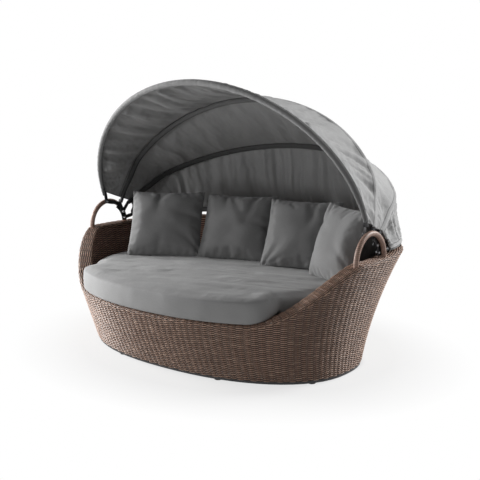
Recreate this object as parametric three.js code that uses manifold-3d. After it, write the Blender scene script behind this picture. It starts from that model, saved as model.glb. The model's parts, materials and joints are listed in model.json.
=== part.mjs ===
// Outdoor daybed with a folding canopy: an oval, flared wicker basket on a welded tube frame,
// a seat cushion with five back cushions, and three bows that fold back about one hinge line.
// Millimetres, +Z up. The front faces -Y, and the origin is on the floor below the middle.

import * as THREE from 'three';
import { mergeVertices } from 'three/addons/utils/BufferGeometryUtils.js';
import Module from 'manifold-3d';

const wasm = await Module();
wasm.setup();

// Basket outline: half widths and depths at the floor, at the front rim and at the arm rim.
const floorHalfWidth = 820;
const seatHalfWidth = 873;
const rimHalfWidth = 970;
const floorFrontDepth = 511;
const seatFrontDepth = 654;
const rimFrontDepth = 717;
const floorBackDepth = 497;
const seatBackDepth = 687;
const rimBackDepth = 866;
const frontRimHeight = 335;
const armRimHeight = 615;
const frontExponentShare = 2.24;
const backExponentShare = 2.5;
const armStartDepth = 524;
const armEndDepth = 90;
const slopeStraightShare = 0.35;

// Walls, rim band and clearances.
const clearance = 0.3;
const wallWidth = 80;
const outerWeave = 8;
const innerWeave = 8;
const rimCrown = 22;
const rimSteps = 80;
const rimLap = 3;
const rimRoundShare = 0.45;
const cutOverrun = 18;
const mergeTolerance = 0.0001;

// Floor ring and glides.
const glideHeight = 6;
const glideRadius = 20;
const glideInset = 26;
const glideCount = 8;
const floorRingWidth = 26;
const floorRingHeight = 14;
const floorRingInset = 4;

// Tube frame inside the weave.
const rimTubeRadius = 12;
const rimTubeDrop = 20;
const rimTubeInset = 30;
const seatRingInset = 105;
const seatRingRadius = 12;
const postRadius = 9;
const postCount = 12;
const postBends = 3;
const postFootInset = 22;
const stubRadius = 8;

// Seat slats.
const slatThickness = 16;
const slatWidth = 70;
const slatSpacing = 172;
const slatCount = 9;
const slatEndInset = 90;

// Arches on the arm tops.
const archInset = 35.6;
const archCentreY = 18;
const archRadius = 137;
const archTubeRadius = 14;

// Hinge line of the canopy, on a plate on the inner side of each arch.
const pivotArchRadius = 116;
const pivotDegrees = 33;
const plateThickness = 5;
const plateInnerRadius = 104;
const plateOuterRadius = 141;
const plateStartDegrees = 3;
const plateEndDegrees = 60;
const rearBoltDegrees = 11;
const linkThickness = 4.5;
const linkWidth = 22;
const pivotBoltRadius = 4;
const boltHeadRadius = 9;
const boltHeadHeight = 6;
const nutAcross = 13;
const nutHeight = 4.5;

// Canopy bows: reach and tilt of each hoop, and its lowest point, measured from the arches' centre.
const bowRadius = 11;
const bowArchInset = 7;
const bowExponentShare = 1.98;
const frontBow = { reach: 731, tilt: 109.5, footY: -36, footZ: 177, startLength: 0 };
const secondBow = { reach: 710, tilt: 70, footY: 65, footZ: 98, startLength: 25 };
const thirdBow = { reach: 707, tilt: 30.7, footY: 140, footZ: 113, startLength: 0 };
const bowSteps = 34;
const toeInStart = 160;
const toeInEnd = 330;
const frontTabBack = -30;
const frontTabLift = 137;
const footBarArchRadius = 129;
const footBarWidth = 22;
const footBarDegrees = [44, 55, 66, 77, 88];
const rivetRadius = 3;
const rivetHeadRadius = 6.5;
const rivetHeadHeight = 3;

// Rear bow, fixed just above the back rim.
const rearBowInset = 30;
const rearBowLift = 30;
const rearBowRadius = 10;
const rearBowLegY = 172;
const rearBowLegInset = 3.4;
const rearBowJoinY = 262;
const clipWidth = 18;
const clipDegrees = [28, 66, 114, 152];

// Canopy cloth.
const clothThickness = 3;
const clothSag = 16;
const clothGap = 0.4;
const clothTrim = 2.5;
const frontHem = 26;
const secondHem = 32;
const thirdHem = 25;
const rearHem = 52;
const pleatDepth = 5;
const pleatCount = 6;

// Seat cushion.
const cushionInset = 8;
const cushionWallGap = 8;
const cushionHeight = 122;
const cushionCrown = 14;
const cushionRound = 34;
const cushionTuckRise = 60;
const cushionLevelShares = [
  { inward: 0.3, upward: 0 },
  { inward: 0, upward: 0.16 },
  { inward: 0.15, upward: 0.48 },
  { inward: 0, upward: 0.78 },
  { inward: 0.3, upward: 0.94 },
  { inward: 1, upward: 1 },
];
const cushionCrownShares = [0.75, 0.4];

// Back cushions: turn and lean of each in degrees, and shares of the rim's half width and depth
// for the middle of its lower seam, and of the half width for its own width and height.
const pillowThickness = 150;
const pillowDraw = 18;
const pillowBulgeShare = 0.5;
const pillowShares = [
  { turn: 31.5, lean: 31, x: -0.431, y: -0.0416, width: 0.4515, height: 0.4278 },
  { turn: 21, lean: 33, x: -0.0423, y: 0.1559, width: 0.4433, height: 0.4278 },
  { turn: 17, lean: 31, x: 0.3887, y: 0.194, width: 0.433, height: 0.4227 },
  { turn: -27, lean: 18, x: 0.6825, y: 0.0393, width: 0.3794, height: 0.4175 },
  { turn: -70, lean: 12, x: 0.7072, y: 0.3718, width: 0.3794, height: 0.4175 },
];

// Derived places.
const rimFront = wallPoint(-Math.PI / 2, frontRimHeight - rimCrown, -rimLap).y;
const rimBack = wallPoint(Math.PI / 2, armRimHeight - rimCrown, -rimLap).y;
const planShift = (rimFront + rimBack) / 2;
const ringBottom = glideHeight + clearance;
const ringInset = floorRingInset + floorRingWidth / 2;
const weaveBottom = ringBottom + floorRingHeight + clearance;
const archSide = wallPoint(0, armRimHeight - rimCrown, archInset).x;
const archInnerSide = archSide - archTubeRadius;
const deckTop = frontRimHeight;
const slatBottom = deckTop - slatThickness;
const seatRingHeight = slatBottom - clearance - seatRingRadius;
const cushionBottom = deckTop + clearance;
const radians = Math.PI / 180;
const pivotY = archCentreY + pivotArchRadius * Math.cos(pivotDegrees * radians);
const pivotZ = armRimHeight + pivotArchRadius * Math.sin(pivotDegrees * radians);
const rearBoltY = archCentreY + pivotArchRadius * Math.cos(rearBoltDegrees * radians);
const rearBoltZ = armRimHeight + pivotArchRadius * Math.sin(rearBoltDegrees * radians);
const rearBowHeight = armRimHeight + rearBowLift;
const rearBowHalfWidth = rimHalfWidth - rearBowInset;
const rearBowDepth = rimBackDepth - rearBowInset;
const bowHalfWidth = archSide - bowArchInset;
const frontTabY = archCentreY + frontTabBack;
const frontTabZ = armRimHeight + frontTabLift;

// Layers along the hinge bolt, from the arch towards the seat.
const plateSide = archInnerSide - clearance;
const footBarSide = plateSide - plateThickness - clearance;
const secondEyeSide = footBarSide - linkThickness - clearance;
const thirdEyeSide = secondEyeSide - linkThickness - clearance;
const boltHeadSide = thirdEyeSide - linkThickness - clearance;
const secondFootSide = secondEyeSide - bowRadius;
const thirdFootSide = thirdEyeSide - bowRadius;
const rearBowLegSide = footBarSide - rearBowLegInset;

// Finishes.
const weaveBrown = finish(0x5a4136, 0.75, 0);
const rimBrown = finish(0x6a4c40, 0.7, 0);
const steelBlack = finish(0x1c1c1e, 0.5, 0.4);
const boltSteel = finish(0xb8b8ba, 0.35, 0.9);
const slatSteel = finish(0x3a3a3c, 0.6, 0.3);
const glideBlack = finish(0x151515, 0.8, 0);
const seatGrey = finish(0x7c7d7e, 0.95, 0);
const pillowGrey = finish(0x5f6163, 0.95, 0);
const clothGrey = finish(0x6b6d6f, 0.95, 0);

const group = new THREE.Group();
group.position.y = -planShift;

buildTubeFrame();
buildGlides();
buildSlats();
buildOuterWeave();
buildInnerWeave();
buildRimBand();
buildArches();
buildHinges();
buildBows();
buildCanopy();
buildCushions();

// A matt or metal finish of one colour.
function finish(color, roughness, metalness) {
  return new THREE.MeshStandardMaterial({ color, roughness, metalness });
}

// Adds a named piece to the model.
function add(name, geometry, material) {
  const mesh = new THREE.Mesh(geometry, material);
  mesh.name = name;
  group.add(mesh);
  return mesh;
}

// The size at height z of something given at the floor, the front rim and the arm rim.
function flare(z, low, middle, high) {
  const a = z / frontRimHeight;
  const b = z / armRimHeight;
  const ratio = armRimHeight / frontRimHeight;
  const atLow = (1 - a) * (1 - b);
  const atMiddle = (a * (1 - b)) / (1 - 1 / ratio);
  const atHigh = (b * (1 - a)) / (1 - ratio);
  return low * atLow + middle * atMiddle + high * atHigh;
}

// A point of the oval at an angle from +X, for given half sizes.
function oval(angle, halfWidth, frontDepth, backDepth) {
  const c = Math.cos(angle);
  const s = Math.sin(angle);
  const power = 2 / (s < 0 ? frontExponentShare : backExponentShare);
  const x = halfWidth * Math.sign(c) * Math.abs(c) ** power;
  const y = (s < 0 ? -frontDepth : backDepth) * Math.abs(s) ** power;
  return new THREE.Vector2(x, y);
}

// A point of the basket's outer face at an angle and a height, moved in by an inset.
function wallPoint(angle, z, inset) {
  const flat = oval(
    angle,
    flare(z, floorHalfWidth, seatHalfWidth, rimHalfWidth) - inset,
    flare(z, floorFrontDepth, seatFrontDepth, rimFrontDepth) - inset,
    flare(z, floorBackDepth, seatBackDepth, rimBackDepth) - inset,
  );
  return new THREE.Vector3(flat.x, flat.y, z);
}

// Smooth step between two ends, from 0 to 1.
function ease(value, start, end) {
  const share = THREE.MathUtils.clamp((value - start) / (end - start), 0, 1);
  return share * share * (3 - 2 * share);
}

// The rim's height round the basket: low in front, up the arm slopes, level behind.
function rimHeight(angle) {
  const y = oval(angle, seatHalfWidth, seatFrontDepth, seatBackDepth).y;
  const rise = THREE.MathUtils.clamp((y + armStartDepth) / (armStartDepth - armEndDepth), 0, 1);
  const share = slopeStraightShare * rise + (1 - slopeStraightShare) * ease(rise, 0, 1);
  return frontRimHeight + (armRimHeight - frontRimHeight) * share;
}

// A closed solid swept through rings of points: each ring has the same count of points.
// An open sweep gets a flat fan on its first and last ring.
function sweep(rings, closed) {
  const size = rings[0].length;
  const positions = [];
  const index = [];
  for (const ring of rings) {
    for (const point of ring) positions.push(point.x, point.y, point.z);
  }
  const spans = closed ? rings.length : rings.length - 1;
  for (let i = 0; i < spans; i += 1) {
    const next = (i + 1) % rings.length;
    for (let k = 0; k < size; k += 1) {
      const other = (k + 1) % size;
      index.push(i * size + k, next * size + k, next * size + other);
      index.push(i * size + k, next * size + other, i * size + other);
    }
  }
  if (!closed) {
    const last = (rings.length - 1) * size;
    for (const [base, flip] of [[0, true], [last, false]]) {
      const middle = positions.length / 3;
      const centre = new THREE.Vector3();
      for (let k = 0; k < size; k += 1) centre.add(rings[base / size][k]);
      centre.divideScalar(size);
      positions.push(centre.x, centre.y, centre.z);
      for (let k = 0; k < size; k += 1) {
        const other = (k + 1) % size;
        if (flip) index.push(middle, base + k, base + other);
        else index.push(middle, base + other, base + k);
      }
    }
  }
  return outward(positions, index);
}

// Makes a geometry of positions and triangles, turned so that its faces point out.
function outward(positions, index) {
  let volume = 0;
  const a = new THREE.Vector3();
  const b = new THREE.Vector3();
  const c = new THREE.Vector3();
  for (let i = 0; i < index.length; i += 3) {
    a.fromArray(positions, index[i] * 3);
    b.fromArray(positions, index[i + 1] * 3);
    c.fromArray(positions, index[i + 2] * 3);
    volume += a.dot(b.cross(c));
  }
  if (volume < 0) {
    for (let i = 0; i < index.length; i += 3) {
      const keep = index[i];
      index[i] = index[i + 1];
      index[i + 1] = keep;
    }
  }
  const geometry = new THREE.BufferGeometry();
  geometry.setAttribute('position', new THREE.Float32BufferAttribute(positions, 3));
  geometry.setIndex(index);
  return geometry;
}

// Turns a closed geometry into a solid that can be joined and cut.
function solid(geometry) {
  const bare = geometry.clone();
  bare.deleteAttribute('normal');
  bare.deleteAttribute('uv');
  const merged = mergeVertices(bare, mergeTolerance);
  const vertProperties = new Float32Array(merged.attributes.position.array);
  const triVerts = new Uint32Array(merged.index.array);
  return new wasm.Manifold(new wasm.Mesh({ numProp: 3, vertProperties, triVerts }));
}

// Turns a joined or cut solid back into a geometry.
function shape(manifold) {
  const mesh = manifold.getMesh();
  const geometry = new THREE.BufferGeometry();
  geometry.setAttribute('position', new THREE.BufferAttribute(mesh.vertProperties, 3));
  geometry.setIndex(new THREE.BufferAttribute(mesh.triVerts, 1));
  return geometry;
}

// Joins a list of geometries into one solid.
function weld(geometries) {
  let whole = solid(geometries[0]);
  for (const geometry of geometries.slice(1)) whole = whole.add(solid(geometry));
  return whole;
}

// A round tube along a path.
function tube(path, radius, steps, sides) {
  const circle = new THREE.Shape();
  for (let i = 0; i < sides; i += 1) {
    const angle = (i / sides) * 2 * Math.PI;
    const x = radius * Math.cos(angle);
    const y = radius * Math.sin(angle);
    if (i === 0) circle.moveTo(x, y);
    else circle.lineTo(x, y);
  }
  circle.closePath();
  return new THREE.ExtrudeGeometry(circle, { steps, extrudePath: path, curveSegments: 1 });
}

// A round bar along X, from one side to another.
function barAlongX(radius, fromX, toX, y, z, sides) {
  const geometry = new THREE.CylinderGeometry(radius, radius, Math.abs(toX - fromX), sides);
  geometry.rotateZ(Math.PI / 2);
  geometry.translate((fromX + toX) / 2, y, z);
  return geometry;
}

// A flat plate in the YZ plane, from its outline, between two places along X.
function plateAlongX(outline, fromX, toX) {
  const low = Math.min(fromX, toX);
  const geometry = new THREE.ExtrudeGeometry(new THREE.Shape(outline), {
    depth: Math.abs(toX - fromX),
    bevelEnabled: false,
  });
  geometry.rotateZ(Math.PI / 2);
  geometry.rotateY(Math.PI / 2);
  geometry.translate(low, 0, 0);
  return geometry;
}

// The outline of a flat link with round ends along a list of points (y, z).
function linkOutline(points, width) {
  const half = width / 2;
  const left = [];
  const right = [];
  const arc = 6;
  points.forEach((point, i) => {
    const before = points[Math.max(i - 1, 0)];
    const after = points[Math.min(i + 1, points.length - 1)];
    const along = after.clone().sub(before).normalize();
    const side = new THREE.Vector2(-along.y, along.x).multiplyScalar(half);
    if (i === 0 || i === points.length - 1) {
      const sign = i === 0 ? -1 : 1;
      const start = Math.atan2(side.y, side.x);
      for (let k = 1; k < arc; k += 1) {
        const angle = start - sign * (k / arc) * Math.PI;
        const tip = new THREE.Vector2(Math.cos(angle), Math.sin(angle)).multiplyScalar(half);
        if (i === 0) left.unshift(point.clone().add(tip));
        else left.push(point.clone().add(tip));
      }
      if (i === 0) left.push(point.clone().add(side));
      else left.splice(left.length - arc + 1, 0, point.clone().add(side));
      right.push(point.clone().sub(side));
      return;
    }
    left.push(point.clone().add(side));
    right.push(point.clone().sub(side));
  });
  return [...left, ...right.reverse()];
}

// A flat link in the YZ plane along points (y, z), with round ends and round holes.
function link(points, width, fromX, toX, holes) {
  let plate = solid(plateAlongX(linkOutline(points, width), fromX, toX));
  for (const hole of holes) plate = plate.subtract(holeAlongX(hole, fromX, toX));
  return plate;
}

// The cutter for a round hole along X.
function holeAlongX(hole, fromX, toX) {
  const low = Math.min(fromX, toX) - cutOverrun;
  const high = Math.max(fromX, toX) + cutOverrun;
  return solid(barAlongX(hole.radius, low, high, hole.y, hole.z, 12));
}

// A section of a closed ring that follows the basket wall at an angle.
function wallSection(angle, inset, z, points) {
  return points.map(([a, b]) => wallPoint(angle, z, inset - a).setZ(z + b));
}

// A ring of points on a circle, as pairs.
function circlePairs(radius, sides) {
  const pairs = [];
  for (let i = 0; i < sides; i += 1) {
    const angle = ((i + 0.5) / sides) * 2 * Math.PI;
    pairs.push([radius * Math.cos(angle), radius * Math.sin(angle)]);
  }
  return pairs;
}

// A closed ring that runs round the basket through a section at each of a count of angles.
function wallRing(count, sectionAt) {
  const sections = [];
  for (let i = 0; i < count; i += 1) sections.push(sectionAt((i / count) * 2 * Math.PI));
  return sweep(sections, true);
}

// Floor ring, rim tube, seat ring, posts and stubs, welded into one frame.
function buildTubeFrame() {
  const half = floorRingWidth / 2;
  const flat = [
    [-half, 0],
    [half, 0],
    [half, floorRingHeight],
    [-half, floorRingHeight],
  ];
  const round = circlePairs(rimTubeRadius, 6);
  const small = circlePairs(seatRingRadius, 6);
  const pieces = [
    wallRing(64, (angle) => wallSection(angle, ringInset, ringBottom, flat)),
    wallRing(60, (angle) => wallSection(angle, rimTubeInset, rimTubeHeight(angle), round)),
    wallRing(40, (angle) => wallSection(angle, seatRingInset, seatRingHeight, small)),
  ];
  for (let i = 0; i < postCount; i += 1) {
    const angle = ((i + 0.5) / postCount) * 2 * Math.PI;
    const low = ringBottom + floorRingHeight / 2;
    const high = rimTubeHeight(angle);
    const line = [];
    for (let k = 0; k <= postBends; k += 1) {
      const share = k / postBends;
      const inset = THREE.MathUtils.lerp(postFootInset, rimTubeInset, share);
      line.push(wallPoint(angle, low + (high - low) * share, inset));
    }
    const outer = wallPoint(angle, Math.min(seatRingHeight, high), rimTubeInset);
    const inner = wallPoint(angle, seatRingHeight, seatRingInset);
    pieces.push(tube(new THREE.CatmullRomCurve3(line), postRadius, postBends, 6));
    pieces.push(tube(new THREE.LineCurve3(outer, inner), stubRadius, 1, 6));
  }
  add('tube_frame', shape(weld(pieces)), steelBlack);
}

// Round glides under the floor ring.
function buildGlides() {
  for (let i = 0; i < glideCount; i += 1) {
    const angle = ((i + 0.5) / glideCount) * 2 * Math.PI;
    const at = wallPoint(angle, ringBottom, glideInset);
    const glide = new THREE.CylinderGeometry(glideRadius, glideRadius, glideHeight, 12);
    glide.rotateX(Math.PI / 2);
    glide.translate(at.x, at.y, glideHeight / 2);
    add(`glide_${i + 1}`, glide, glideBlack);
  }
}

// Flat slats from front to back across the seat ring.
function buildSlats() {
  for (let i = 0; i < slatCount; i += 1) {
    const x = (i - (slatCount - 1) / 2) * slatSpacing;
    const reach = Math.abs(x) + slatWidth / 2;
    const front = depthAt(reach, slatBottom, slatEndInset, false);
    const back = depthAt(reach, slatBottom, slatEndInset, true);
    const slat = new THREE.BoxGeometry(slatWidth, back - front, slatThickness);
    slat.translate(x, (back + front) / 2, slatBottom + slatThickness / 2);
    add(`seat_slat_${i + 1}`, slat, slatSteel);
  }
}

// The height of the rim tube's middle at an angle.
function rimTubeHeight(angle) {
  return rimHeight(angle) - rimCrown - rimTubeDrop;
}

// The Y of the basket wall at a place across, a height and an inset, in front or behind.
function depthAt(x, z, inset, behind) {
  const half = flare(z, floorHalfWidth, seatHalfWidth, rimHalfWidth) - inset;
  const power = behind ? backExponentShare : frontExponentShare;
  const depth = behind
    ? flare(z, floorBackDepth, seatBackDepth, rimBackDepth) - inset
    : -(flare(z, floorFrontDepth, seatFrontDepth, rimFrontDepth) - inset);
  return depth * (1 - Math.min(Math.abs(x) / half, 1) ** power) ** (1 / power);
}

// The woven skin outside, from the floor ring up to the rim band.
function buildOuterWeave() {
  const skin = wallRing(rimSteps, (angle) => skinSection(angle, weaveBottom, 0, outerWeave, 3));
  add('outer_weave', skin, weaveBrown);
}

// The woven skin inside the arms and the back, from the frame's stubs up to the rim band.
function buildInnerWeave() {
  const bottom = seatRingHeight + stubRadius + clearance;
  const turn = (2 * Math.PI) / rimSteps;
  const start = innerWeaveEnd(turn);
  const sections = [];
  for (let angle = start; angle < Math.PI - start + turn / 2; angle += turn) {
    sections.push(skinSection(angle, bottom, wallWidth - innerWeave, wallWidth, 2));
  }
  add('inner_weave', sweep(sections, false), weaveBrown);
}

// A section of a woven skin between two insets, from a height up to just below the rim band.
function skinSection(angle, bottom, nearInset, farInset, rows) {
  const top = rimHeight(angle) - rimCrown - clearance;
  const near = [];
  const far = [];
  for (let row = 0; row <= rows; row += 1) {
    const z = bottom + ((top - bottom) * row) / rows;
    near.push(wallPoint(angle, z, nearInset));
    far.unshift(wallPoint(angle, z, farInset));
  }
  return [...near, ...far];
}

// The wrapped rim band, with four holes for the arches' legs.
function buildRimBand() {
  const section = crownSection(wallWidth / 2 + rimLap, rimCrown, rimRoundShare);
  section.push([-wallWidth / 2 + outerWeave, 0]);
  section.push([wallWidth / 2 - outerWeave, 0]);
  const ring = (angle) => wallSection(angle, wallWidth / 2, rimHeight(angle) - rimCrown, section);
  let band = solid(wallRing(rimSteps, ring));
  const radius = archTubeRadius + clearance * 2;
  for (const side of [-1, 1]) {
    for (const end of [-1, 1]) {
      const hole = new THREE.CylinderGeometry(radius, radius, (rimCrown + cutOverrun) * 2, 16);
      hole.rotateX(Math.PI / 2);
      hole.translate(side * archSide, archCentreY + end * archRadius, armRimHeight);
      band = band.subtract(solid(hole));
    }
  }
  add('rim_band', shape(band), rimBrown);
}

// The crowned half of a band's section, from one edge over the top to the other.
function crownSection(half, height, roundShare) {
  const points = [];
  const steps = 5;
  for (let i = 0; i <= steps; i += 1) {
    const c = Math.cos((i / steps) * Math.PI);
    const s = Math.sin((i / steps) * Math.PI);
    points.push([
      half * Math.sign(c) * Math.abs(c) ** roundShare,
      height * Math.abs(s) ** roundShare,
    ]);
  }
  return points;
}

// The angle, just before +X, where the arm's rim first stands clear above the seat deck.
function innerWeaveEnd(turn) {
  const wanted = frontRimHeight + rimCrown * 2;
  let angle = 0;
  while (rimHeight(angle) > wanted) angle -= turn;
  return angle + turn;
}

// Two loops of wrapped tube that stand in the rim band on the rim tube.
function buildArches() {
  const steps = 18;
  const back = archCentreY + archRadius;
  const front = archCentreY - archRadius;
  for (const [side, word] of [[-1, 'left'], [1, 'right']]) {
    const rings = [];
    const ringAt = (y, z, outY, outZ) => circlePairs(archTubeRadius, 10).map(([a, b]) => (
      new THREE.Vector3(side * archSide + b, y + a * outY, z + a * outZ)));
    rings.push(ringAt(back, legFoot(back), 1, 0));
    for (let i = 0; i <= steps; i += 1) {
      const angle = (i / steps) * Math.PI;
      const c = Math.cos(angle);
      const s = Math.sin(angle);
      rings.push(ringAt(archCentreY + archRadius * c, armRimHeight + archRadius * s, c, s));
    }
    rings.push(ringAt(front, legFoot(front), -1, 0));
    add(`arch_${word}`, sweep(rings, false), rimBrown);
  }
}

// The height at which an arch's leg stands on the rim tube, at a place along the arm.
function legFoot(y) {
  let low = -Math.PI / 2;
  let high = Math.PI / 2;
  for (let i = 0; i < 30; i += 1) {
    const angle = (low + high) / 2;
    const reached = wallPoint(angle, rimTubeHeight(angle), rimTubeInset).y;
    if (reached < y + archTubeRadius) low = angle;
    else high = angle;
  }
  return rimTubeHeight(low) + rimTubeRadius + clearance;
}

// A point (y, z) on a circle about the arch's centre.
function archPoint(radius, degrees) {
  return new THREE.Vector2(
    archCentreY + radius * Math.cos(degrees * radians),
    armRimHeight + radius * Math.sin(degrees * radians),
  );
}

// Hinge plates on the arches, with the pivot bolts, the rear bow's bolts and their nuts.
function buildHinges() {
  const pivotHole = { y: pivotY, z: pivotZ, radius: pivotBoltRadius + clearance };
  const rearHole = { y: rearBoltY, z: rearBoltZ, radius: pivotBoltRadius + clearance };
  for (const [side, word] of [[-1, 'left'], [1, 'right']]) {
    const outline = [];
    const steps = 8;
    for (let i = 0; i <= steps; i += 1) {
      const degrees = plateStartDegrees + ((plateEndDegrees - plateStartDegrees) * i) / steps;
      outline.push(archPoint(plateOuterRadius, degrees));
    }
    for (let i = steps; i >= 0; i -= 1) {
      const degrees = plateStartDegrees + ((plateEndDegrees - plateStartDegrees) * i) / steps;
      outline.push(archPoint(plateInnerRadius, degrees));
    }
    const outerX = side * plateSide;
    const innerX = side * (plateSide - plateThickness);
    const plate = solid(plateAlongX(outline, innerX, outerX))
      .subtract(holeAlongX(pivotHole, innerX, outerX))
      .subtract(holeAlongX(rearHole, innerX, outerX));
    add(`hinge_plate_${word}`, shape(plate), steelBlack);
    addBolt(`pivot_bolt_${word}`, side, boltHeadSide, pivotY, pivotZ);
    addBolt(`rear_bow_bolt_${word}`, side, secondEyeSide, rearBoltY, rearBoltZ);
    addNut(`pivot_nut_${word}`, side, pivotY, pivotZ);
    addNut(`rear_bow_nut_${word}`, side, rearBoltY, rearBoltZ);
  }
}

// A bolt along X: its head on the seat side, its shank through the hinge plate.
function addBolt(name, side, headSide, y, z) {
  const head = barAlongX(boltHeadRadius, side * (headSide - boltHeadHeight), side * headSide, y, z, 12);
  const tip = plateSide + clearance + nutHeight;
  const shank = barAlongX(pivotBoltRadius, side * (headSide - boltHeadHeight / 2), side * tip, y, z, 12);
  add(name, shape(weld([head, shank])), boltSteel);
}

// A thin hexagon nut on the outer side of the hinge plate.
function addNut(name, side, y, z) {
  const radius = nutAcross / Math.sqrt(3);
  const inner = side * (plateSide + clearance);
  const outer = side * (plateSide + clearance + nutHeight);
  const hole = { y, z, radius: pivotBoltRadius + clearance };
  const nut = solid(barAlongX(radius, inner, outer, y, z, 6));
  add(name, shape(nut.subtract(holeAlongX(hole, inner, outer))), boltSteel);
}

// The point of a bow's centre line at an angle from its right foot to its left foot.
function bowPoint(bow, angle, footSide) {
  const c = Math.cos(angle);
  const s = Math.abs(Math.sin(angle));
  const power = 2 / bowExponentShare;
  const length = bow.reach * s ** power;
  const toe = (bowHalfWidth - footSide) * (1 - ease(length, toeInStart, toeInEnd));
  const x = Math.sign(c) * (bowHalfWidth * Math.abs(c) ** power - toe);
  const tilt = bow.tilt * radians;
  return new THREE.Vector3(
    x,
    archCentreY + bow.footY + length * Math.cos(tilt),
    armRimHeight + bow.footZ + length * Math.sin(tilt),
  );
}

// The angle at which a bow's centre line has run a given length up from its foot.
function bowAngle(bow, length) {
  return Math.asin((length / bow.reach) ** (bowExponentShare / 2));
}

// The centre line of a bow from foot to foot, with closer points near the feet.
function bowPath(bow, footSide) {
  const start = bowAngle(bow, bow.startLength);
  const points = [];
  for (let i = 0; i <= bowSteps; i += 1) {
    const share = i / bowSteps;
    const angle = start + (Math.PI - 2 * start) * (share + pinch(share));
    points.push(bowPoint(bow, angle, footSide));
  }
  return new THREE.CatmullRomCurve3(points);
}

// Draws evenly spread shares towards both ends.
function pinch(share) {
  const pinchShare = 0.055;
  return -pinchShare * Math.sin(share * 2 * Math.PI);
}

// The three folding bows with their feet, and the fixed rear bow with its clips.
function buildBows() {
  buildFrontBow();
  const eyes = [
    ['bow_2', secondBow, secondEyeSide, secondFootSide],
    ['bow_3', thirdBow, thirdEyeSide, thirdFootSide],
  ];
  for (const [name, bow, eyeSide, footSide] of eyes) {
    let whole = solid(tube(bowPath(bow, footSide), bowRadius, bowSteps, 8));
    const pivot = new THREE.Vector2(pivotY, pivotZ);
    const start = bowAngle(bow, bow.startLength);
    const foot = bowPoint(bow, start, footSide);
    const grip = bowPoint(bow, bowAngle(bow, bow.startLength + linkWidth / 2), footSide);
    const line = [pivot, new THREE.Vector2(foot.y, foot.z), new THREE.Vector2(grip.y, grip.z)];
    const hole = { y: pivotY, z: pivotZ, radius: pivotBoltRadius + clearance };
    for (const side of [-1, 1]) {
      const outer = side * eyeSide;
      const inner = side * (eyeSide - linkThickness);
      whole = whole.add(link(line, linkWidth, inner, outer, [hole]));
      whole = whole.subtract(holeAlongX(hole, inner, outer));
    }
    add(name, shape(whole), steelBlack);
  }
  buildRearBow();
}

// The front bow: a hoop with tabs, and a curved foot bar riveted to each tab.
function buildFrontBow() {
  const tab = new THREE.Vector2(frontTabY, frontTabZ);
  const foot = bowPoint(frontBow, bowAngle(frontBow, frontBow.startLength), bowHalfWidth);
  const grip = bowPoint(frontBow, bowAngle(frontBow, footBarWidth / 2), bowHalfWidth);
  const line = [tab, new THREE.Vector2(foot.y, foot.z), new THREE.Vector2(grip.y, grip.z)];
  const hole = { y: frontTabY, z: frontTabZ, radius: rivetRadius + clearance };
  const tabOuter = footBarSide + clearance + linkThickness;
  let whole = solid(tube(bowPath(frontBow, bowHalfWidth), bowRadius, bowSteps, 8));
  for (const side of [-1, 1]) {
    const inner = side * (footBarSide + clearance);
    whole = whole.add(link(line, footBarWidth, inner, side * tabOuter, [hole]));
  }
  add('bow_1', shape(whole), steelBlack);
  const pivotHole = { y: pivotY, z: pivotZ, radius: pivotBoltRadius + clearance };
  const bar = [new THREE.Vector2(pivotY, pivotZ)];
  for (const degrees of footBarDegrees) bar.push(archPoint(footBarArchRadius, degrees));
  bar.push(tab);
  for (const [side, word] of [[-1, 'left'], [1, 'right']]) {
    const outer = side * footBarSide;
    const inner = side * (footBarSide - linkThickness);
    add(`bow_1_foot_${word}`, shape(link(bar, footBarWidth, inner, outer, [pivotHole, hole])), steelBlack);
    const headBase = footBarSide - linkThickness - clearance;
    const head = barAlongX(
      rivetHeadRadius, side * (headBase - rivetHeadHeight), side * headBase, frontTabY, frontTabZ, 12);
    const shank = barAlongX(
      rivetRadius, side * (headBase - rivetHeadHeight / 2), side * tabOuter, frontTabY, frontTabZ, 12);
    add(`bow_1_rivet_${word}`, shape(weld([head, shank])), boltSteel);
  }
}

// A point of the rear bow's centre line at an angle from +X.
function rearBowPoint(angle) {
  const flat = oval(angle, rearBowHalfWidth, rearBowDepth, rearBowDepth);
  const side = THREE.MathUtils.lerp(rearBowLegSide, Math.abs(flat.x), ease(flat.y, rearBowLegY, rearBowJoinY));
  const x = flat.y < rearBowJoinY ? Math.sign(flat.x) * side : flat.x;
  return new THREE.Vector3(x, flat.y, rearBowHeight);
}

// The centre line of the rear bow from its right foot to its left foot.
function rearBowPath() {
  const start = Math.asin((rearBowLegY / rearBowDepth) ** (backExponentShare / 2));
  const points = [];
  for (let i = 0; i <= bowSteps; i += 1) {
    points.push(rearBowPoint(start + ((Math.PI - 2 * start) * i) / bowSteps));
  }
  return new THREE.CatmullRomCurve3(points);
}

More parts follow.
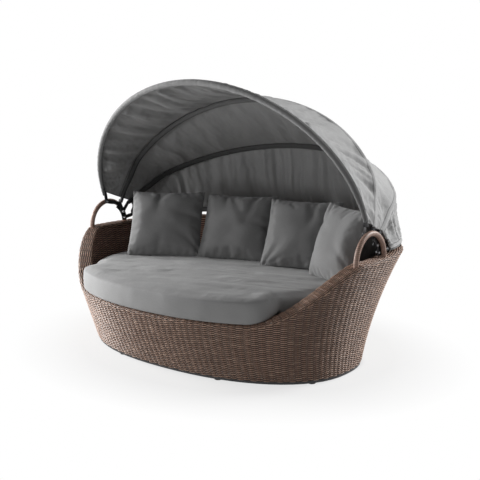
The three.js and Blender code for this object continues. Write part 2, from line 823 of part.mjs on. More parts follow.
// The fixed bow above the back rim, bolted to the hinge plates and held on clips.
function buildRearBow() {
  let whole = solid(tube(rearBowPath(), rearBowRadius, bowSteps, 8));
  const bolt = new THREE.Vector2(rearBoltY, rearBoltZ);
  const line = [bolt, new THREE.Vector2(rearBowLegY + linkWidth, rearBowHeight)];
  const hole = { y: rearBoltY, z: rearBoltZ, radius: pivotBoltRadius + clearance };
  for (const side of [-1, 1]) {
    const outer = side * footBarSide;
    whole = whole.add(link(line, linkWidth, side * (footBarSide - linkThickness), outer, [hole]));
  }
  add('rear_bow', shape(whole), steelBlack);
  clipDegrees.forEach((degrees, i) => {
    const angle = degrees * radians;
    const at = rearBowPoint(angle);
    const ahead = rearBowPoint(angle + radians);
    const along = ahead.clone().sub(at).normalize();
    const reach = rearBowRadius + clipWidth;
    const height = rearBowHeight - armRimHeight + rimCrown / 2;
    const block = new THREE.BoxGeometry(clipWidth, clipWidth, height);
    block.rotateZ(Math.atan2(along.y, along.x));
    block.translate(at.x, at.y, rearBowHeight - height / 2);
    const from = at.clone().addScaledVector(along, -reach);
    const to = at.clone().addScaledVector(along, reach);
    const bore = solid(tube(new THREE.LineCurve3(from, to), rearBowRadius + clearance * 3, 1, 16));
    const seat = rimSeatCutter(angle, reach);
    add(`rear_bow_clip_${i + 1}`, shape(solid(block).subtract(bore).subtract(seat)), steelBlack);
  });
}

// A stretch of the rim band near an angle, grown by the clearance, that cuts a clip to its seat.
function rimSeatCutter(angle, reach) {
  const half = wallWidth / 2 + rimLap + clearance;
  const section = crownSection(half, rimCrown + clearance * 2, rimRoundShare / 2);
  const span = reach / rearBowDepth;
  const rings = [];
  for (let i = -2; i <= 2; i += 1) {
    rings.push(wallSection(angle + i * span, wallWidth / 2, armRimHeight - rimCrown, section));
  }
  return solid(sweep(rings, false));
}

// Canopy cloth: one panel between each pair of bows, outside the tubes.
function buildCanopy() {
  const edges = [
    { path: bowPath(frontBow, bowHalfWidth), radius: bowRadius, hem: frontHem },
    { path: bowPath(secondBow, secondFootSide), radius: bowRadius, hem: secondHem },
    { path: bowPath(thirdBow, thirdFootSide), radius: bowRadius, hem: thirdHem },
    { path: rearBowPath(), radius: rearBowRadius, hem: rearHem },
  ];
  add('canopy_front', clothPanel(edges[0], edges[1], 4, 0), clothGrey);
  add('canopy_middle', clothPanel(edges[1], edges[2], 4, 0), clothGrey);
  add('canopy_rear', clothPanel(edges[2], edges[3], 5, pleatDepth), clothGrey);
}

// A point and a direction on a bow's tube where the cloth has a ring: at its hems and bends.
function clothStation(edge, i) {
  const hemShare = (edge.hem / edge.path.getLength()) * bowSteps;
  let place = i;
  if (i === 0) place = hemShare;
  if (i === bowSteps) place = bowSteps - hemShare;
  const before = Math.min(Math.floor(place), bowSteps - 1);
  const from = edge.path.getPointAt(before / bowSteps);
  const to = edge.path.getPointAt((before + 1) / bowSteps);
  const tangent = i > 0 && i < bowSteps
    ? edge.path.getTangentAt(i / bowSteps)
    : to.clone().sub(from).normalize();
  return { point: from.lerp(to, place - before), tangent };
}

// The way out of the canopy at a place on a bow, square to the bow and to the cloth.
function clothNormal(station, along) {
  const normal = along.clone().cross(station.tangent).normalize();
  const away = station.point.clone().sub(new THREE.Vector3(0, pivotY, armRimHeight));
  return normal.dot(away) < 0 ? normal.negate() : normal;
}

// A closed sheet from one bow to the next, with a light sag and, where asked, pleats.
function clothPanel(near, far, rows, pleat) {
  const rings = [];
  for (let i = 0; i <= bowSteps; i += 1) {
    const a = clothStation(near, i);
    const b = clothStation(far, i);
    const along = b.point.clone().sub(a.point).normalize();
    const nearNormal = clothNormal(a, along);
    const farNormal = clothNormal(b, along);
    const trim = clothTrim / a.point.distanceTo(b.point);
    const inner = [];
    const outer = [];
    for (let row = 0; row <= rows; row += 1) {
      const v = row / rows;
      const hollow = Math.sin(v * Math.PI) ** 2;
      const normal = nearNormal.clone().lerp(farNormal, v).normalize();
      const radius = THREE.MathUtils.lerp(near.radius, far.radius, v);
      const sag = clothSag * hollow * Math.sin((i / bowSteps) * Math.PI);
      const fold = pleat * hollow * Math.sin((i / bowSteps) * pleatCount * 2 * Math.PI);
      const lift = radius + clothGap - sag + fold;
      const at = a.point.clone().lerp(b.point, trim + v * (1 - 2 * trim));
      inner.push(at.clone().addScaledVector(normal, lift));
      outer.push(at.clone().addScaledVector(normal, lift + clothThickness));
    }
    rings.push([...inner, ...outer.reverse()]);
  }
  return sweep(rings, false);
}

// The seat cushion, and the back cushions that stand on it.
function buildCushions() {
  const seat = add('seat_cushion', seatCushion(), seatGrey);
  pillowShares.forEach((share, i) => {
    const height = share.height * rimHalfWidth;
    const geometry = pillowShape(share.width * rimHalfWidth, height);
    geometry.translate(0, 0, height / 2);
    geometry.rotateX(-share.lean * radians);
    geometry.rotateZ(share.turn * radians);
    geometry.translate(share.x * rimHalfWidth, share.y * rimBackDepth, armRimHeight);
    geometry.translate(0, 0, clearance - dropHeight(geometry, seat));
    add(`back_cushion_${i + 1}`, geometry, pillowGrey);
  });
}

// How far a shape can be lowered until it meets the top of another piece.
function dropHeight(geometry, rest) {
  const beam = new THREE.Raycaster();
  const down = new THREE.Vector3(0, 0, -1);
  const from = new THREE.Vector3();
  let drop = Infinity;
  for (let i = 0; i < geometry.attributes.position.count; i += 1) {
    from.fromBufferAttribute(geometry.attributes.position, i);
    beam.set(from, down);
    const hit = beam.intersectObject(rest)[0];
    if (hit) drop = Math.min(drop, hit.distance);
  }
  return drop;
}

// How far the cushion is tucked in behind the rim at an angle: 0 in front, 1 at the arms and back.
function cushionTuck(angle) {
  return ease(rimHeight(angle), frontRimHeight, frontRimHeight + cushionTuckRise);
}

// The inset of the cushion's outline: over the low front rim, inside the walls of arms and back.
function cushionReach(angle) {
  return THREE.MathUtils.lerp(cushionInset, wallWidth + cushionWallGap, cushionTuck(angle));
}

// The height of the cushion's lower edge: on the rim in front, on the slats elsewhere.
function cushionFoot(angle) {
  return cushionTuck(angle) < 1 ? rimHeight(angle) + clearance : cushionBottom;
}

// The seat cushion: a crowned oval with rounded arrises and slightly drawn-in sides.
function seatCushion() {
  const count = rimSteps / 2;
  const top = cushionBottom + cushionHeight;
  const rings = [];
  const ring = (pointAt) => {
    const points = [];
    for (let i = 0; i < count; i += 1) points.push(pointAt((i / count) * 2 * Math.PI));
    rings.push(points);
  };
  ring((angle) => {
    const shelf = Math.max(cushionReach(angle) + cushionRound, wallWidth + cushionWallGap);
    return wallPoint(angle, cushionBottom, shelf + cushionWallGap);
  });
  ring((angle) => {
    const shelf = Math.max(cushionReach(angle) + cushionRound, wallWidth + cushionWallGap);
    return wallPoint(angle, cushionBottom, shelf).setZ(cushionFoot(angle));
  });
  for (const { inward, upward } of cushionLevelShares) {
    ring((angle) => {
      const edge = wallPoint(angle, cushionBottom, cushionReach(angle) + cushionRound * inward);
      return edge.setZ(THREE.MathUtils.lerp(cushionFoot(angle), top, upward));
    });
  }
  for (const share of cushionCrownShares) {
    ring((angle) => {
      const edge = wallPoint(angle, cushionBottom, cushionReach(angle));
      return edge.multiplyScalar(share).setZ(top + cushionCrown * (1 - share * share));
    });
  }
  const positions = rings.flat().flatMap((point) => point.toArray());
  const index = [];
  for (let i = 0; i < count; i += 1) {
    const next = (i + 1) % count;
    for (let k = 0; k < rings.length - 1; k += 1) {
      const a = k * count;
      const b = a + count;
      index.push(a + i, a + next, b + next, a + i, b + next, b + i);
    }
    const last = (rings.length - 1) * count;
    const centre = rings.length * count;
    index.push(last + i, last + next, centre);
    index.push(next, i, centre + 1);
  }
  positions.push(0, 0, top + cushionCrown);
  positions.push(0, 0, cushionBottom);
  return outward(positions, index);
}

// A cushion standing on its edge: crowned, with sides drawn in between its corners.
function pillowShape(width, height) {
  const cells = 8;
  const positions = [];
  const index = [];
  const rim = [];
  const at = (i, k, face) => {
    const u = Math.sin(((i / cells) * 2 - 1) * (Math.PI / 2));
    const v = Math.sin(((k / cells) * 2 - 1) * (Math.PI / 2));
    const drawU = pillowDraw * (1 - v * v) * u * u * u;
    const drawV = pillowDraw * (1 - u * u) * v * v * v;
    const rise = ((1 - u * u) * (1 - v * v)) ** pillowBulgeShare;
    const x = (u * width) / 2 - drawU;
    const z = (v * height) / 2 - drawV;
    return [x, (-face * pillowThickness * rise) / 2, z];
  };
  const grids = [1, -1].map((face) => {
    const grid = [];
    for (let i = 0; i <= cells; i += 1) {
      grid.push([]);
      for (let k = 0; k <= cells; k += 1) {
        const border = i === 0 || k === 0 || i === cells || k === cells;
        if (border && face < 0) {
          grid[i].push(rim[i * (cells + 1) + k]);
          continue;
        }
        const id = positions.length / 3;
        positions.push(...at(i, k, face));
        if (border) rim[i * (cells + 1) + k] = id;
        grid[i].push(id);
      }
    }
    return grid;
  });
  grids.forEach((grid, n) => {
    for (let i = 0; i < cells; i += 1) {
      for (let k = 0; k < cells; k += 1) {
        const quad = [grid[i][k], grid[i + 1][k], grid[i + 1][k + 1], grid[i][k + 1]];
        if (n === 1) quad.reverse();
        index.push(quad[0], quad[1], quad[2], quad[0], quad[2], quad[3]);
      }
    }
  });
  return outward(positions, index);
}

export default group;
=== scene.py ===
# %% [markdown]
# # An outdoor daybed with a folding canopy
# The real daybed is an oval wicker basket with flared double walls, a seat cushion, five loose
# cushions and a cloth canopy on four hoops, of which three fold back about one hinge line. The
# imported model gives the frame, in metres: X across, Y towards the back, Z up. This lesson dresses
# it with woven strands, sewn cloth and light, and never moves a part of the frame.

import json
import math
from contextlib import contextmanager

import bpy
import numpy as np
from mathutils import Matrix, Vector, noise


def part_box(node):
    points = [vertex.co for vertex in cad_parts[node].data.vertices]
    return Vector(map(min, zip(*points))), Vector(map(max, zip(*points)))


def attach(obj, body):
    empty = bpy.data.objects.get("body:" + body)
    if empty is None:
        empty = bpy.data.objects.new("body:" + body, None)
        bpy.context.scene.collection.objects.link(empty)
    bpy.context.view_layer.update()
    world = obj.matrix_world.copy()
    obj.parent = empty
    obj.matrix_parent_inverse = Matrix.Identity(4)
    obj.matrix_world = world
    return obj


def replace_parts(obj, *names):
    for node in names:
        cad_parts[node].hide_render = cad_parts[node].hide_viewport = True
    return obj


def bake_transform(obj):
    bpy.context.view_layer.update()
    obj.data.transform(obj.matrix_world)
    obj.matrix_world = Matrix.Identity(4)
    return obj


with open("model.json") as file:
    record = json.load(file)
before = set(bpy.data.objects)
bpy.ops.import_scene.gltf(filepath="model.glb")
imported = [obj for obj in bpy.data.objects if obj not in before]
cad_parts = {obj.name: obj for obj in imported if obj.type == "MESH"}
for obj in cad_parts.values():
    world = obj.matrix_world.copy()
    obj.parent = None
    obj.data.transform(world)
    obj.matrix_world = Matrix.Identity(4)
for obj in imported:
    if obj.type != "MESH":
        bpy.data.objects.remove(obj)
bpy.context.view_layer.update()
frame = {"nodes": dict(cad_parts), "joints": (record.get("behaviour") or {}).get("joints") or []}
nodes = frame["nodes"]
MM = 0.001
TINY = 1e-9

# %% [markdown]
# ## Small tools
# Operators act on whatever is selected, so each step first picks its own piece. A finished piece
# has its place in its mesh, with its object at the origin.

# %% Pick, edit, apply and settle


def pick(piece):
    """Select this piece alone and make it active."""
    bpy.ops.object.select_all(action="DESELECT")
    piece.select_set(True)
    bpy.context.view_layer.objects.active = piece


@contextmanager
def editing(piece, whole=True):
    """Edit mode for the lines below, with the whole piece selected or its points as they were."""
    pick(piece)
    bpy.ops.object.mode_set(mode="EDIT")
    if whole:
        bpy.ops.mesh.select_all(action="SELECT")
    yield
    bpy.ops.object.mode_set(mode="OBJECT")


def fresh(name):
    """Name the primitive that was just added."""
    piece = bpy.context.object
    piece.name = name
    piece.data.name = name
    return piece


def settle(piece):
    """Put the object's place, turn and size into its mesh."""
    pick(piece)
    bpy.ops.object.transform_apply(location=True, rotation=True, scale=True)
    return piece


def apply_modifiers(piece):
    """Apply every modifier, top to bottom."""
    pick(piece)
    for modifier in list(piece.modifiers):
        bpy.ops.object.modifier_apply(modifier=modifier.name)
    return piece


def repeat(piece, offset, count, merge=0.0):
    """Make a row of copies, which are merged where they meet unless merge is 0."""
    array = piece.modifiers.new("repeat", "ARRAY")
    array.use_relative_offset = False
    array.use_constant_offset = True
    array.constant_offset_displace = offset
    array.count = count
    array.use_merge_vertices = merge > 0
    array.merge_threshold = merge
    return apply_modifiers(piece)


def report(piece):
    """Print how many faces a piece has."""
    print(piece.name, "faces", len(piece.data.polygons))
    return piece


# %% Points, selections and values of a mesh


def points_of(piece):
    """The piece's vertices as rows of x, y, z."""
    flat = np.empty(len(piece.data.vertices) * 3)
    piece.data.vertices.foreach_get("co", flat)
    return flat.reshape(-1, 3)


def move_points(piece, points):
    """Set the piece's vertices."""
    piece.data.vertices.foreach_set("co", np.ascontiguousarray(points, dtype=np.float32).ravel())
    piece.data.update()


def select_where(piece, mask):
    """Select the vertices where mask is true, and leave the piece in object mode."""
    with editing(piece):
        bpy.ops.mesh.select_mode(type="VERT")
        bpy.ops.mesh.select_all(action="DESELECT")
    piece.data.vertices.foreach_set("select", mask)


def delete_points(piece, mask):
    """Delete the vertices where mask is true."""
    select_where(piece, mask)
    with editing(piece, whole=False):
        bpy.ops.mesh.delete(type="VERT")


def write_uv(piece, uv):
    """Give each face corner the UV of its vertex."""
    corner = np.empty(len(piece.data.loops), dtype=np.int32)
    piece.data.loops.foreach_get("vertex_index", corner)
    layers = piece.data.uv_layers
    layer = layers[0] if layers else layers.new(name="strand")
    layer.data.foreach_set("uv", uv[corner].astype(np.float32).ravel())


def write_values(piece, word, values):
    """Keep a number for each vertex in the mesh, under this word."""
    place = piece.data.attributes.new(word, "FLOAT", "POINT")
    place.data.foreach_set("value", values.astype(np.float32))


def norms(rows):
    """The length of each row, as a column that is safe to divide by."""
    return np.linalg.norm(rows, axis=1)[:, None] + TINY


def nearest_on(line, points):
    """For each point, the number of the nearest point of a line."""
    return np.array([np.argmin(((line - p) ** 2).sum(axis=1)) for p in points])


def noise_at(places):
    """Smooth noise at rows of x, y, z."""
    return np.array([noise.noise(Vector(place)) for place in places])


# %% [markdown]
# ## The basket's outline
# The wall is an oval that flares upwards: at each height its half widths and depths follow a curve
# through three measured heights. The rim is low in front and climbs both arm slopes. Both rules
# are those of the frame, so strands made from them lie on its walls.

# %% Sizes of the basket, in metres
FLOOR_HALF, SEAT_HALF, RIM_HALF = 0.820, 0.873, 0.970
FLOOR_FRONT, SEAT_FRONT, RIM_FRONT = 0.511, 0.654, 0.717
FLOOR_BACK, SEAT_BACK, RIM_BACK = 0.497, 0.687, 0.866
FRONT_RIM, ARM_RIM = 0.335, 0.615
FRONT_EXPONENT, BACK_EXPONENT = 2.24, 2.5
ARM_START, ARM_END = 0.524, 0.090
SLOPE_STRAIGHT = 0.35
WALL = 0.080
CROWN = 0.022
RIM_LAP = 0.003
RIM_ROUND = 0.45
SKIN_BOTTOM = 0.0206

# %% Rules of the wall


def smooth(value, start, end):
    """0 up to start, 1 from end on, with a soft step between."""
    share = np.clip((value - start) / (end - start), 0, 1)
    return share * share * (3 - 2 * share)


def flare(z, low, middle, high):
    """A size at height z that is low on the floor, middle at the front rim, high at the arms."""
    a = z / FRONT_RIM
    b = z / ARM_RIM
    ratio = ARM_RIM / FRONT_RIM
    at_low = (1 - a) * (1 - b)
    at_middle = a * (1 - b) / (1 - 1 / ratio)
    at_high = b * (1 - a) / (1 - ratio)
    return low * at_low + middle * at_middle + high * at_high


def oval(angle, half, front, back):
    """X and Y of an oval that is flatter behind than in front."""
    c = np.cos(angle)
    s = np.sin(angle)
    power = np.where(s < 0, 2 / FRONT_EXPONENT, 2 / BACK_EXPONENT)
    x = half * np.sign(c) * np.abs(c) ** power
    y = np.where(s < 0, -front, back) * np.abs(s) ** power
    return x, y


def wall(angle, z, inset):
    """X and Y of the wall, before the plan is centred."""
    return oval(
        angle,
        flare(z, FLOOR_HALF, SEAT_HALF, RIM_HALF) - inset,
        flare(z, FLOOR_FRONT, SEAT_FRONT, RIM_FRONT) - inset,
        flare(z, FLOOR_BACK, SEAT_BACK, RIM_BACK) - inset,
    )


def rim_height(angle):
    """The top of the rim: low in front, up the arm slopes, level behind."""
    y = oval(angle, SEAT_HALF, SEAT_FRONT, SEAT_BACK)[1]
    rise = np.clip((y + ARM_START) / (ARM_START - ARM_END), 0, 1)
    share = SLOPE_STRAIGHT * rise + (1 - SLOPE_STRAIGHT) * smooth(rise, 0, 1)
    return FRONT_RIM + (ARM_RIM - FRONT_RIM) * share


rim_front = wall(np.array(-math.pi / 2), FRONT_RIM - CROWN, -RIM_LAP)[1]
rim_back = wall(np.array(math.pi / 2), ARM_RIM - CROWN, -RIM_LAP)[1]
PLAN_SHIFT = float(rim_front + rim_back) / 2
rim_low, rim_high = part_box("rim_band")
print("plan shift", round(PLAN_SHIFT, 5))
print("rim depth", round(rim_high[1] - rim_low[1], 4), "by rule", round(float(rim_back - rim_front), 4))


def on_wall(angle, z, inset):
    """Points of the wall as rows of x, y, z in the frame."""
    x, y = wall(angle, z, inset)
    return np.stack([x, y - PLAN_SHIFT, z + 0 * x], axis=-1)


# %% [markdown]
# ## Counting in stakes
# Wicker is measured by its stakes, the upright rods that the strands pass in front of and behind.
# A place round the basket is given here in stake gaps: 0 is the front middle, and the count runs
# to the right, round the back and home. The gaps are equal at the front rim's height.

# %% Stake count to angle
STAKES = 136
RING_POINTS = 6001


def run_of(line):
    """The way along a line at each of its points."""
    return np.concatenate([[0.0], np.cumsum(np.linalg.norm(np.diff(line, axis=0), axis=1))])


turn = np.linspace(-math.pi / 2, 3 * math.pi / 2, RING_POINTS)
run = run_of(on_wall(turn, np.full_like(turn, FRONT_RIM), 0.0))
GAP = float(run[-1]) / STAKES


def stake_angle(count):
    """The angle from +X at a count of stake gaps."""
    return np.interp(np.mod(count, STAKES), run / GAP, turn)


print("stake gap", round(GAP / MM, 1), "mm")

# %% [markdown]
# ## Materials
# Every finish is a small node tree. The strands carry their own UV map: along it runs the length
# in metres, across it the row number, so streaks follow each strand. Cloth reads object
# coordinates, with a fine cross weave in its bump. Colours are written as they should render.

# %% Helpers for node trees
WHITE = 1.0


def colour(hex_code):
    """A hex colour as linear red, green, blue and alpha."""
    parts = [(hex_code >> shift & 255) / 255 for shift in (16, 8, 0)]
    linear = [c / 12.92 if c <= 0.04045 else ((c + 0.055) / 1.055) ** 2.4 for c in parts]
    return (*linear, 1.0)


def grey(value):
    """A linear grey with its alpha."""
    return (value, value, value, 1.0)


class Tree:
    """A node tree whose nodes are added one by one and fed by socket."""

    def __init__(self, owner):
        owner.use_nodes = True
        self.owner = owner
        self.nodes = owner.node_tree.nodes

    def add(self, kind, **settings):
        node = self.nodes.new("ShaderNode" + kind)
        for key, value in settings.items():
            setattr(node, key, value)
        return node

    def feed(self, node, values):
        """Join each socket that is given to its input, and type in each number or colour."""
        for key, value in values.items():
            if isinstance(value, bpy.types.NodeSocket):
                self.owner.node_tree.links.new(value, node.inputs[key])
            else:
                node.inputs[key].default_value = value
        return node

    def parts(self, source):
        return self.feed(self.add("SeparateXYZ"), {"Vector": source}).outputs

    def scaled(self, source, scale):
        return self.feed(self.add("Mapping"), {"Scale": scale, "Vector": source}).outputs["Vector"]

    def noise(self, source, scale, detail, stretch=(1, 1, 1)):
        values = {"Scale": scale, "Detail": detail, "Vector": self.scaled(source, stretch)}
        return self.feed(self.add("TexNoise"), values).outputs["Fac"]

    def ramp(self, source, stops):
        """Colours or greys by place, from 0 to 1."""
        node = self.feed(self.add("ValToRGB"), {"Fac": source})
        elements = node.color_ramp.elements
        while len(elements) < len(stops):
            elements.new(0.5)
        for element, (place, value) in zip(elements, stops):
            element.position = place
            element.color = value if isinstance(value, tuple) else grey(value)
        return node.outputs["Color"]

    def maths(self, operation, *values):
        node = self.add("Math", operation=operation)
        return self.feed(node, dict(enumerate(values))).outputs["Value"]

    def mix(self, amount, first, second, blend="MIX"):
        node = self.add("Mix", data_type="RGBA", blend_type=blend)
        places = [place for place, socket in enumerate(node.inputs) if socket.enabled]
        self.feed(node, dict(zip(places, (amount, first, second))))
        return next(s for s in node.outputs if s.enabled)

    def seen_directly(self):
        """1 where the camera looks, also in a mirror or through glass, and 0 for lamplight."""
        rays = self.add("LightPath").outputs
        seen = self.maths("MAXIMUM", rays["Is Camera Ray"], rays["Is Glossy Ray"])
        return self.maths("MAXIMUM", seen, rays["Is Transmission Ray"])


class Finish(Tree):
    """The tree of a new material, with its shader and coordinates at hand."""

    def __init__(self, name, roughness, metallic=0.0, sheen=0.0):
        super().__init__(bpy.data.materials.new(name))
        self.shader = self.nodes["Principled BSDF"]
        self.coords = self.add("TexCoord").outputs
        self.shade({"Roughness": roughness, "Metallic": metallic, "Sheen Weight": sheen})

    def shade(self, values):
        self.feed(self.shader, values)

    def bump(self, height, distance, strength):
        values = {"Strength": strength, "Distance": distance, "Height": height}
        self.shade({"Normal": self.feed(self.add("Bump"), values).outputs["Normal"]})


# %% Wicker: moulded strands with long two-tone streaks and painted shade in their recesses
# Share of the colour left in the painted shade behind a stake and between two wraps.
PAINTED_RECESS_SHADE = 0.12
ROW_STEP = 7.31
TONE_SCALE = 9.0
STREAKS, GRAINS = (14.0, 9.0, 1.0), (160.0, 34.0, 1.0)
GRAIN_DEPTH = 0.0004


def wicker(name, dark, middle, pale, pattern=None):
    """Strand colours, with painted shade where a strand dives behind a stake, or between two wraps."""
    tree = Finish(name, roughness=0.5)
    uv = tree.coords["UV"]
    place = tree.parts(uv)
    row = tree.maths("ROUND", place["Y"])
    own = {"X": place["X"], "Y": tree.maths("MULTIPLY", row, ROW_STEP)}
    tone = tree.noise(tree.feed(tree.add("CombineXYZ"), own).outputs["Vector"], TONE_SCALE, 2.0)
    streak = tree.noise(uv, 1.0, 2.0, STREAKS)
    grain = tree.noise(uv, 1.0, 2.0, GRAINS)
    dark, middle, pale = colour(dark), colour(middle), colour(pale)
    body = tree.ramp(tone, [(0.30, dark), (0.50, middle), (0.70, pale)])
    light = tree.ramp(streak, [(0.42, dark), (0.60, pale)])
    grains = tree.ramp(grain, [(0.3, middle), (0.7, pale)])
    strand = tree.mix(0.35, tree.mix(0.45, body, light), grains)
    # Painted shade: the strand darkens where it passes behind a stake.
    if pattern == "woven":
        gaps = tree.maths("ADD", tree.maths("DIVIDE", place["X"], GAP), row)
        side = tree.maths("COSINE", tree.maths("MULTIPLY", gaps, math.pi))
        front = tree.maths("MULTIPLY_ADD", side, 0.5, 0.5)
        strand = tree.mix(1.0, strand, tree.ramp(front, [(0.38, PAINTED_RECESS_SHADE), (0.74, WHITE)]), "MULTIPLY")
    # Painted shade in the grooves between the turns of the wrap.
    if pattern == "wrapped":
        turns = tree.maths("MULTIPLY", place["Y"], math.pi)
        ridge = tree.maths("ABSOLUTE", tree.maths("SINE", turns))
        strand = tree.mix(1.0, strand, tree.ramp(ridge, [(0.05, PAINTED_RECESS_SHADE), (0.45, WHITE)]), "MULTIPLY")
    rough = tree.maths("MULTIPLY_ADD", streak, 0.30, 0.30)
    tree.shade({"Base Color": strand, "Roughness": rough, "Specular IOR Level": 0.35})
    tree.bump(grain, GRAIN_DEPTH, 0.5)
    return tree.owner


strand_brown = wicker("woven_strand", 0x281309, 0x755140, 0xDCBAA4, "woven")
inner_brown = wicker("inner_strand", 0x603C2E, 0x9C7060, 0xD8B6A4, "woven")
# The rods' dark brown is partly painted shade: it is chosen to read as the shaded dashes between the
# strands.
stake_brown = wicker("stake_rod", 0x2A1A13, 0x40291F, 0x583E32)
wrap_brown = wicker("wrapped_strand", 0x5A4034, 0x8C6C5E, 0xB49A8C, "wrapped")

# %% Woven cloth
SEAM_WAY = 0.018
SEAM_TONE = 0.45
PATCHES, CREASES, THREADS = 6.0, 11.0, 1400.0
SLUBS = (90.0, 90.0, 420.0)
CREASE_DEPTH = 0.0030
THREAD_SHARE = 0.10
# Height from which the cloth starts to grow paler, as painted light.
PAINTED_LIGHT_BASE = 0.5


def cloth(name, dark, pale, high=None, stitched=False):
    """Plain woven cloth with slubs and soft creases, paler high up as painted light, and stitched beside a
    hoop.
    """
    tree = Finish(name, roughness=0.9, sheen=0.15)
    where = tree.coords["Object"]
    dark, pale = colour(dark), colour(pale)
    patches = tree.ramp(tree.noise(where, PATCHES, 4.0), [(0.25, dark), (0.75, pale)])
    slubs = tree.ramp(tree.noise(where, 1.0, 2.0, SLUBS), [(0.3, dark), (0.75, pale)])
    both = tree.mix(0.35, patches, slubs)
    if high:
        # Painted light: the cloth grows paler with height, as if its upper part were lit.
        rise = tree.maths("SUBTRACT", tree.parts(where)["Z"], PAINTED_LIGHT_BASE)
        both = tree.mix(tree.ramp(rise, [(0.40, 0.0), (0.80, WHITE)]), both, colour(high))
    if stitched:
        way = tree.add("Attribute", attribute_name="from_hoop").outputs["Fac"]
        seam = [(0.0, WHITE), (0.40, WHITE), (0.46, SEAM_TONE), (0.54, SEAM_TONE), (0.60, WHITE)]
        line = tree.ramp(tree.maths("DIVIDE", way, 2 * SEAM_WAY), seam)
        both = tree.mix(1.0, both, line, "MULTIPLY")
    threads = tree.maths("MULTIPLY", tree.noise(where, THREADS, 1.0), THREAD_SHARE)
    tree.shade({"Base Color": both})
    tree.bump(tree.maths("ADD", tree.noise(where, CREASES, 3.0), threads), CREASE_DEPTH, 0.8)
    return tree.owner


canopy_cloth = cloth("canopy_cloth", 0x8E8E8E, 0x9E9E9E, stitched=True)
# Painted shade and light: the middle hoops' sleeves are dark grey, partly for the black tube under thin
# cloth and partly for shade, and paler up high for light.
sleeve_cloth = cloth("sleeve_cloth", 0x242424, 0x2E2E2E, high=0x646464)
# Painted shade and light: the hems and the front and rear sleeves are a darker grey than the canopy for
# their shaded sides, and paler up high for light.
edge_cloth = cloth("edge_cloth", 0x5A5A5A, 0x686868, high=0x7C7C7C)
seat_cloth = cloth("seat_cloth", 0x868686, 0x949494)
pillow_cloth = cloth("pillow_cloth", 0x676767, 0x757575)

# %% Coated steel, bright steel and plastic
WEAR, ORANGE_PEEL = 35.0, 900.0
PEEL_DEPTH = 0.0002


def coated(name, base, roughness, metallic=0.0):
    """Powder coat or plastic with a fine orange-peel skin and slightly worn tone."""
    tree = Finish(name, roughness, metallic)
    where = tree.coords["Object"]
    worn = tuple(min(1.0, c * 1.8 + 0.004) for c in colour(base)[:3]) + (1.0,)
    tone = tree.ramp(tree.noise(where, WEAR, 4.0), [(0.4, colour(base)), (0.8, worn)])
    tree.shade({"Base Color": tone})
    tree.bump(tree.noise(where, ORANGE_PEEL, 1.0), PEEL_DEPTH, 0.4)
    return tree.owner


black_coat = coated("black_coat", 0x1C1C1E, 0.45)
slat_coat = coated("slat_coat", 0x3A3A3C, 0.55)
glide_plastic = coated("glide_plastic", 0x161616, 0.7)
bright_steel = coated("bright_steel", 0xB9B9BC, 0.3, metallic=0.9)
print("materials", len(bpy.data.materials))

# %% [markdown]
# ## The woven outer skin
# A strand is a half-round moulded strip about 6 mm wide. It passes in front of one stake and behind
# the next, and the row above does the opposite. One short length is modelled, an Array modifier
# repeats it into a flat mat of straight strands, and the mat is then laid on the wall: its X
# counts stakes, its Z counts rows, and a cosine moves it in and out. Painted bump would be
# lighter, but it would show a flat edge at the rim and no shadow between the strands.

# %% A flat mat of strands
STRAND_SIDES = 5
STRAND_STEPS = 4
STRAND_PITCH = 0.0056
STRAND_WIDTH = 0.0062
STRAND_THICKNESS = 0.0026
WAVE = 0.0030
FLAT_MERGE, LAID_MERGE = 0.0001, 0.00001


def strand_mat(name, rows, gaps, pitch=STRAND_PITCH):
    """Straight strands side by side: X in stake gaps, Z up by one pitch a row."""
    step = 1 / STRAND_STEPS
    bpy.ops.mesh.primitive_cylinder_add(
        vertices=STRAND_SIDES, radius=0.5, depth=1.0, end_fill_type="NOTHING", rotation=(0, math.pi / 2, 0)
    )
    mat = settle(fresh(name))
    bpy.ops.transform.resize(value=(step, STRAND_THICKNESS, STRAND_WIDTH))
    bpy.ops.transform.translate(value=(step / 2, 0, 0))
    repeat(settle(mat), (step, 0, 0), gaps * STRAND_STEPS, FLAT_MERGE)
    return repeat(mat, (0, 0, pitch), rows)


def lay_mat(mat, place, keep=None, pitch=STRAND_PITCH, first_row=0, wave=WAVE):
    """Lay a flat mat by place(count, row, side, out), without what keep turns down."""
    flat = points_of(mat)
    write_uv(mat, np.stack([flat[:, 0] * GAP, flat[:, 2] / pitch + first_row], axis=-1))
    if keep:
        delete_points(mat, ~keep(flat[:, 0], np.rint(flat[:, 2] / pitch) + first_row))
        flat = points_of(mat)
    up = np.rint(flat[:, 2] / pitch)
    row = up + first_row
    out = wave * np.cos(math.pi * (flat[:, 0] + row)) - flat[:, 1]
    move_points(mat, place(flat[:, 0], row, flat[:, 2] - up * pitch, out))
    with editing(mat):
        bpy.ops.mesh.remove_doubles(threshold=LAID_MERGE)
        bpy.ops.mesh.select_all(action="SELECT")
        bpy.ops.mesh.fill_holes(sides=STRAND_SIDES)
    bpy.ops.object.shade_smooth()
    return report(mat)


def dress(piece, material, body="daybed"):
    """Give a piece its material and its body."""
    piece.data.materials.clear()
    piece.data.materials.append(material)
    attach(piece, body)
    return piece


# %% Outer rows, below and above the front rim
SKIN_MIDDLE = 0.004
UNDER_CROWN = CROWN * 0.5


def row_height(row, foot):
    """The height of a row's middle, counted from the lowest row of a skin."""
    return foot + STRAND_WIDTH / 2 + row * STRAND_PITCH


def under_rim(count, z):
    """Where a height is still under the rim band."""
    return z < rim_height(stake_angle(count)) - UNDER_CROWN


def outer_place(count, row, side, out):
    return on_wall(stake_angle(count), row_height(row, SKIN_BOTTOM) + side, SKIN_MIDDLE - out)


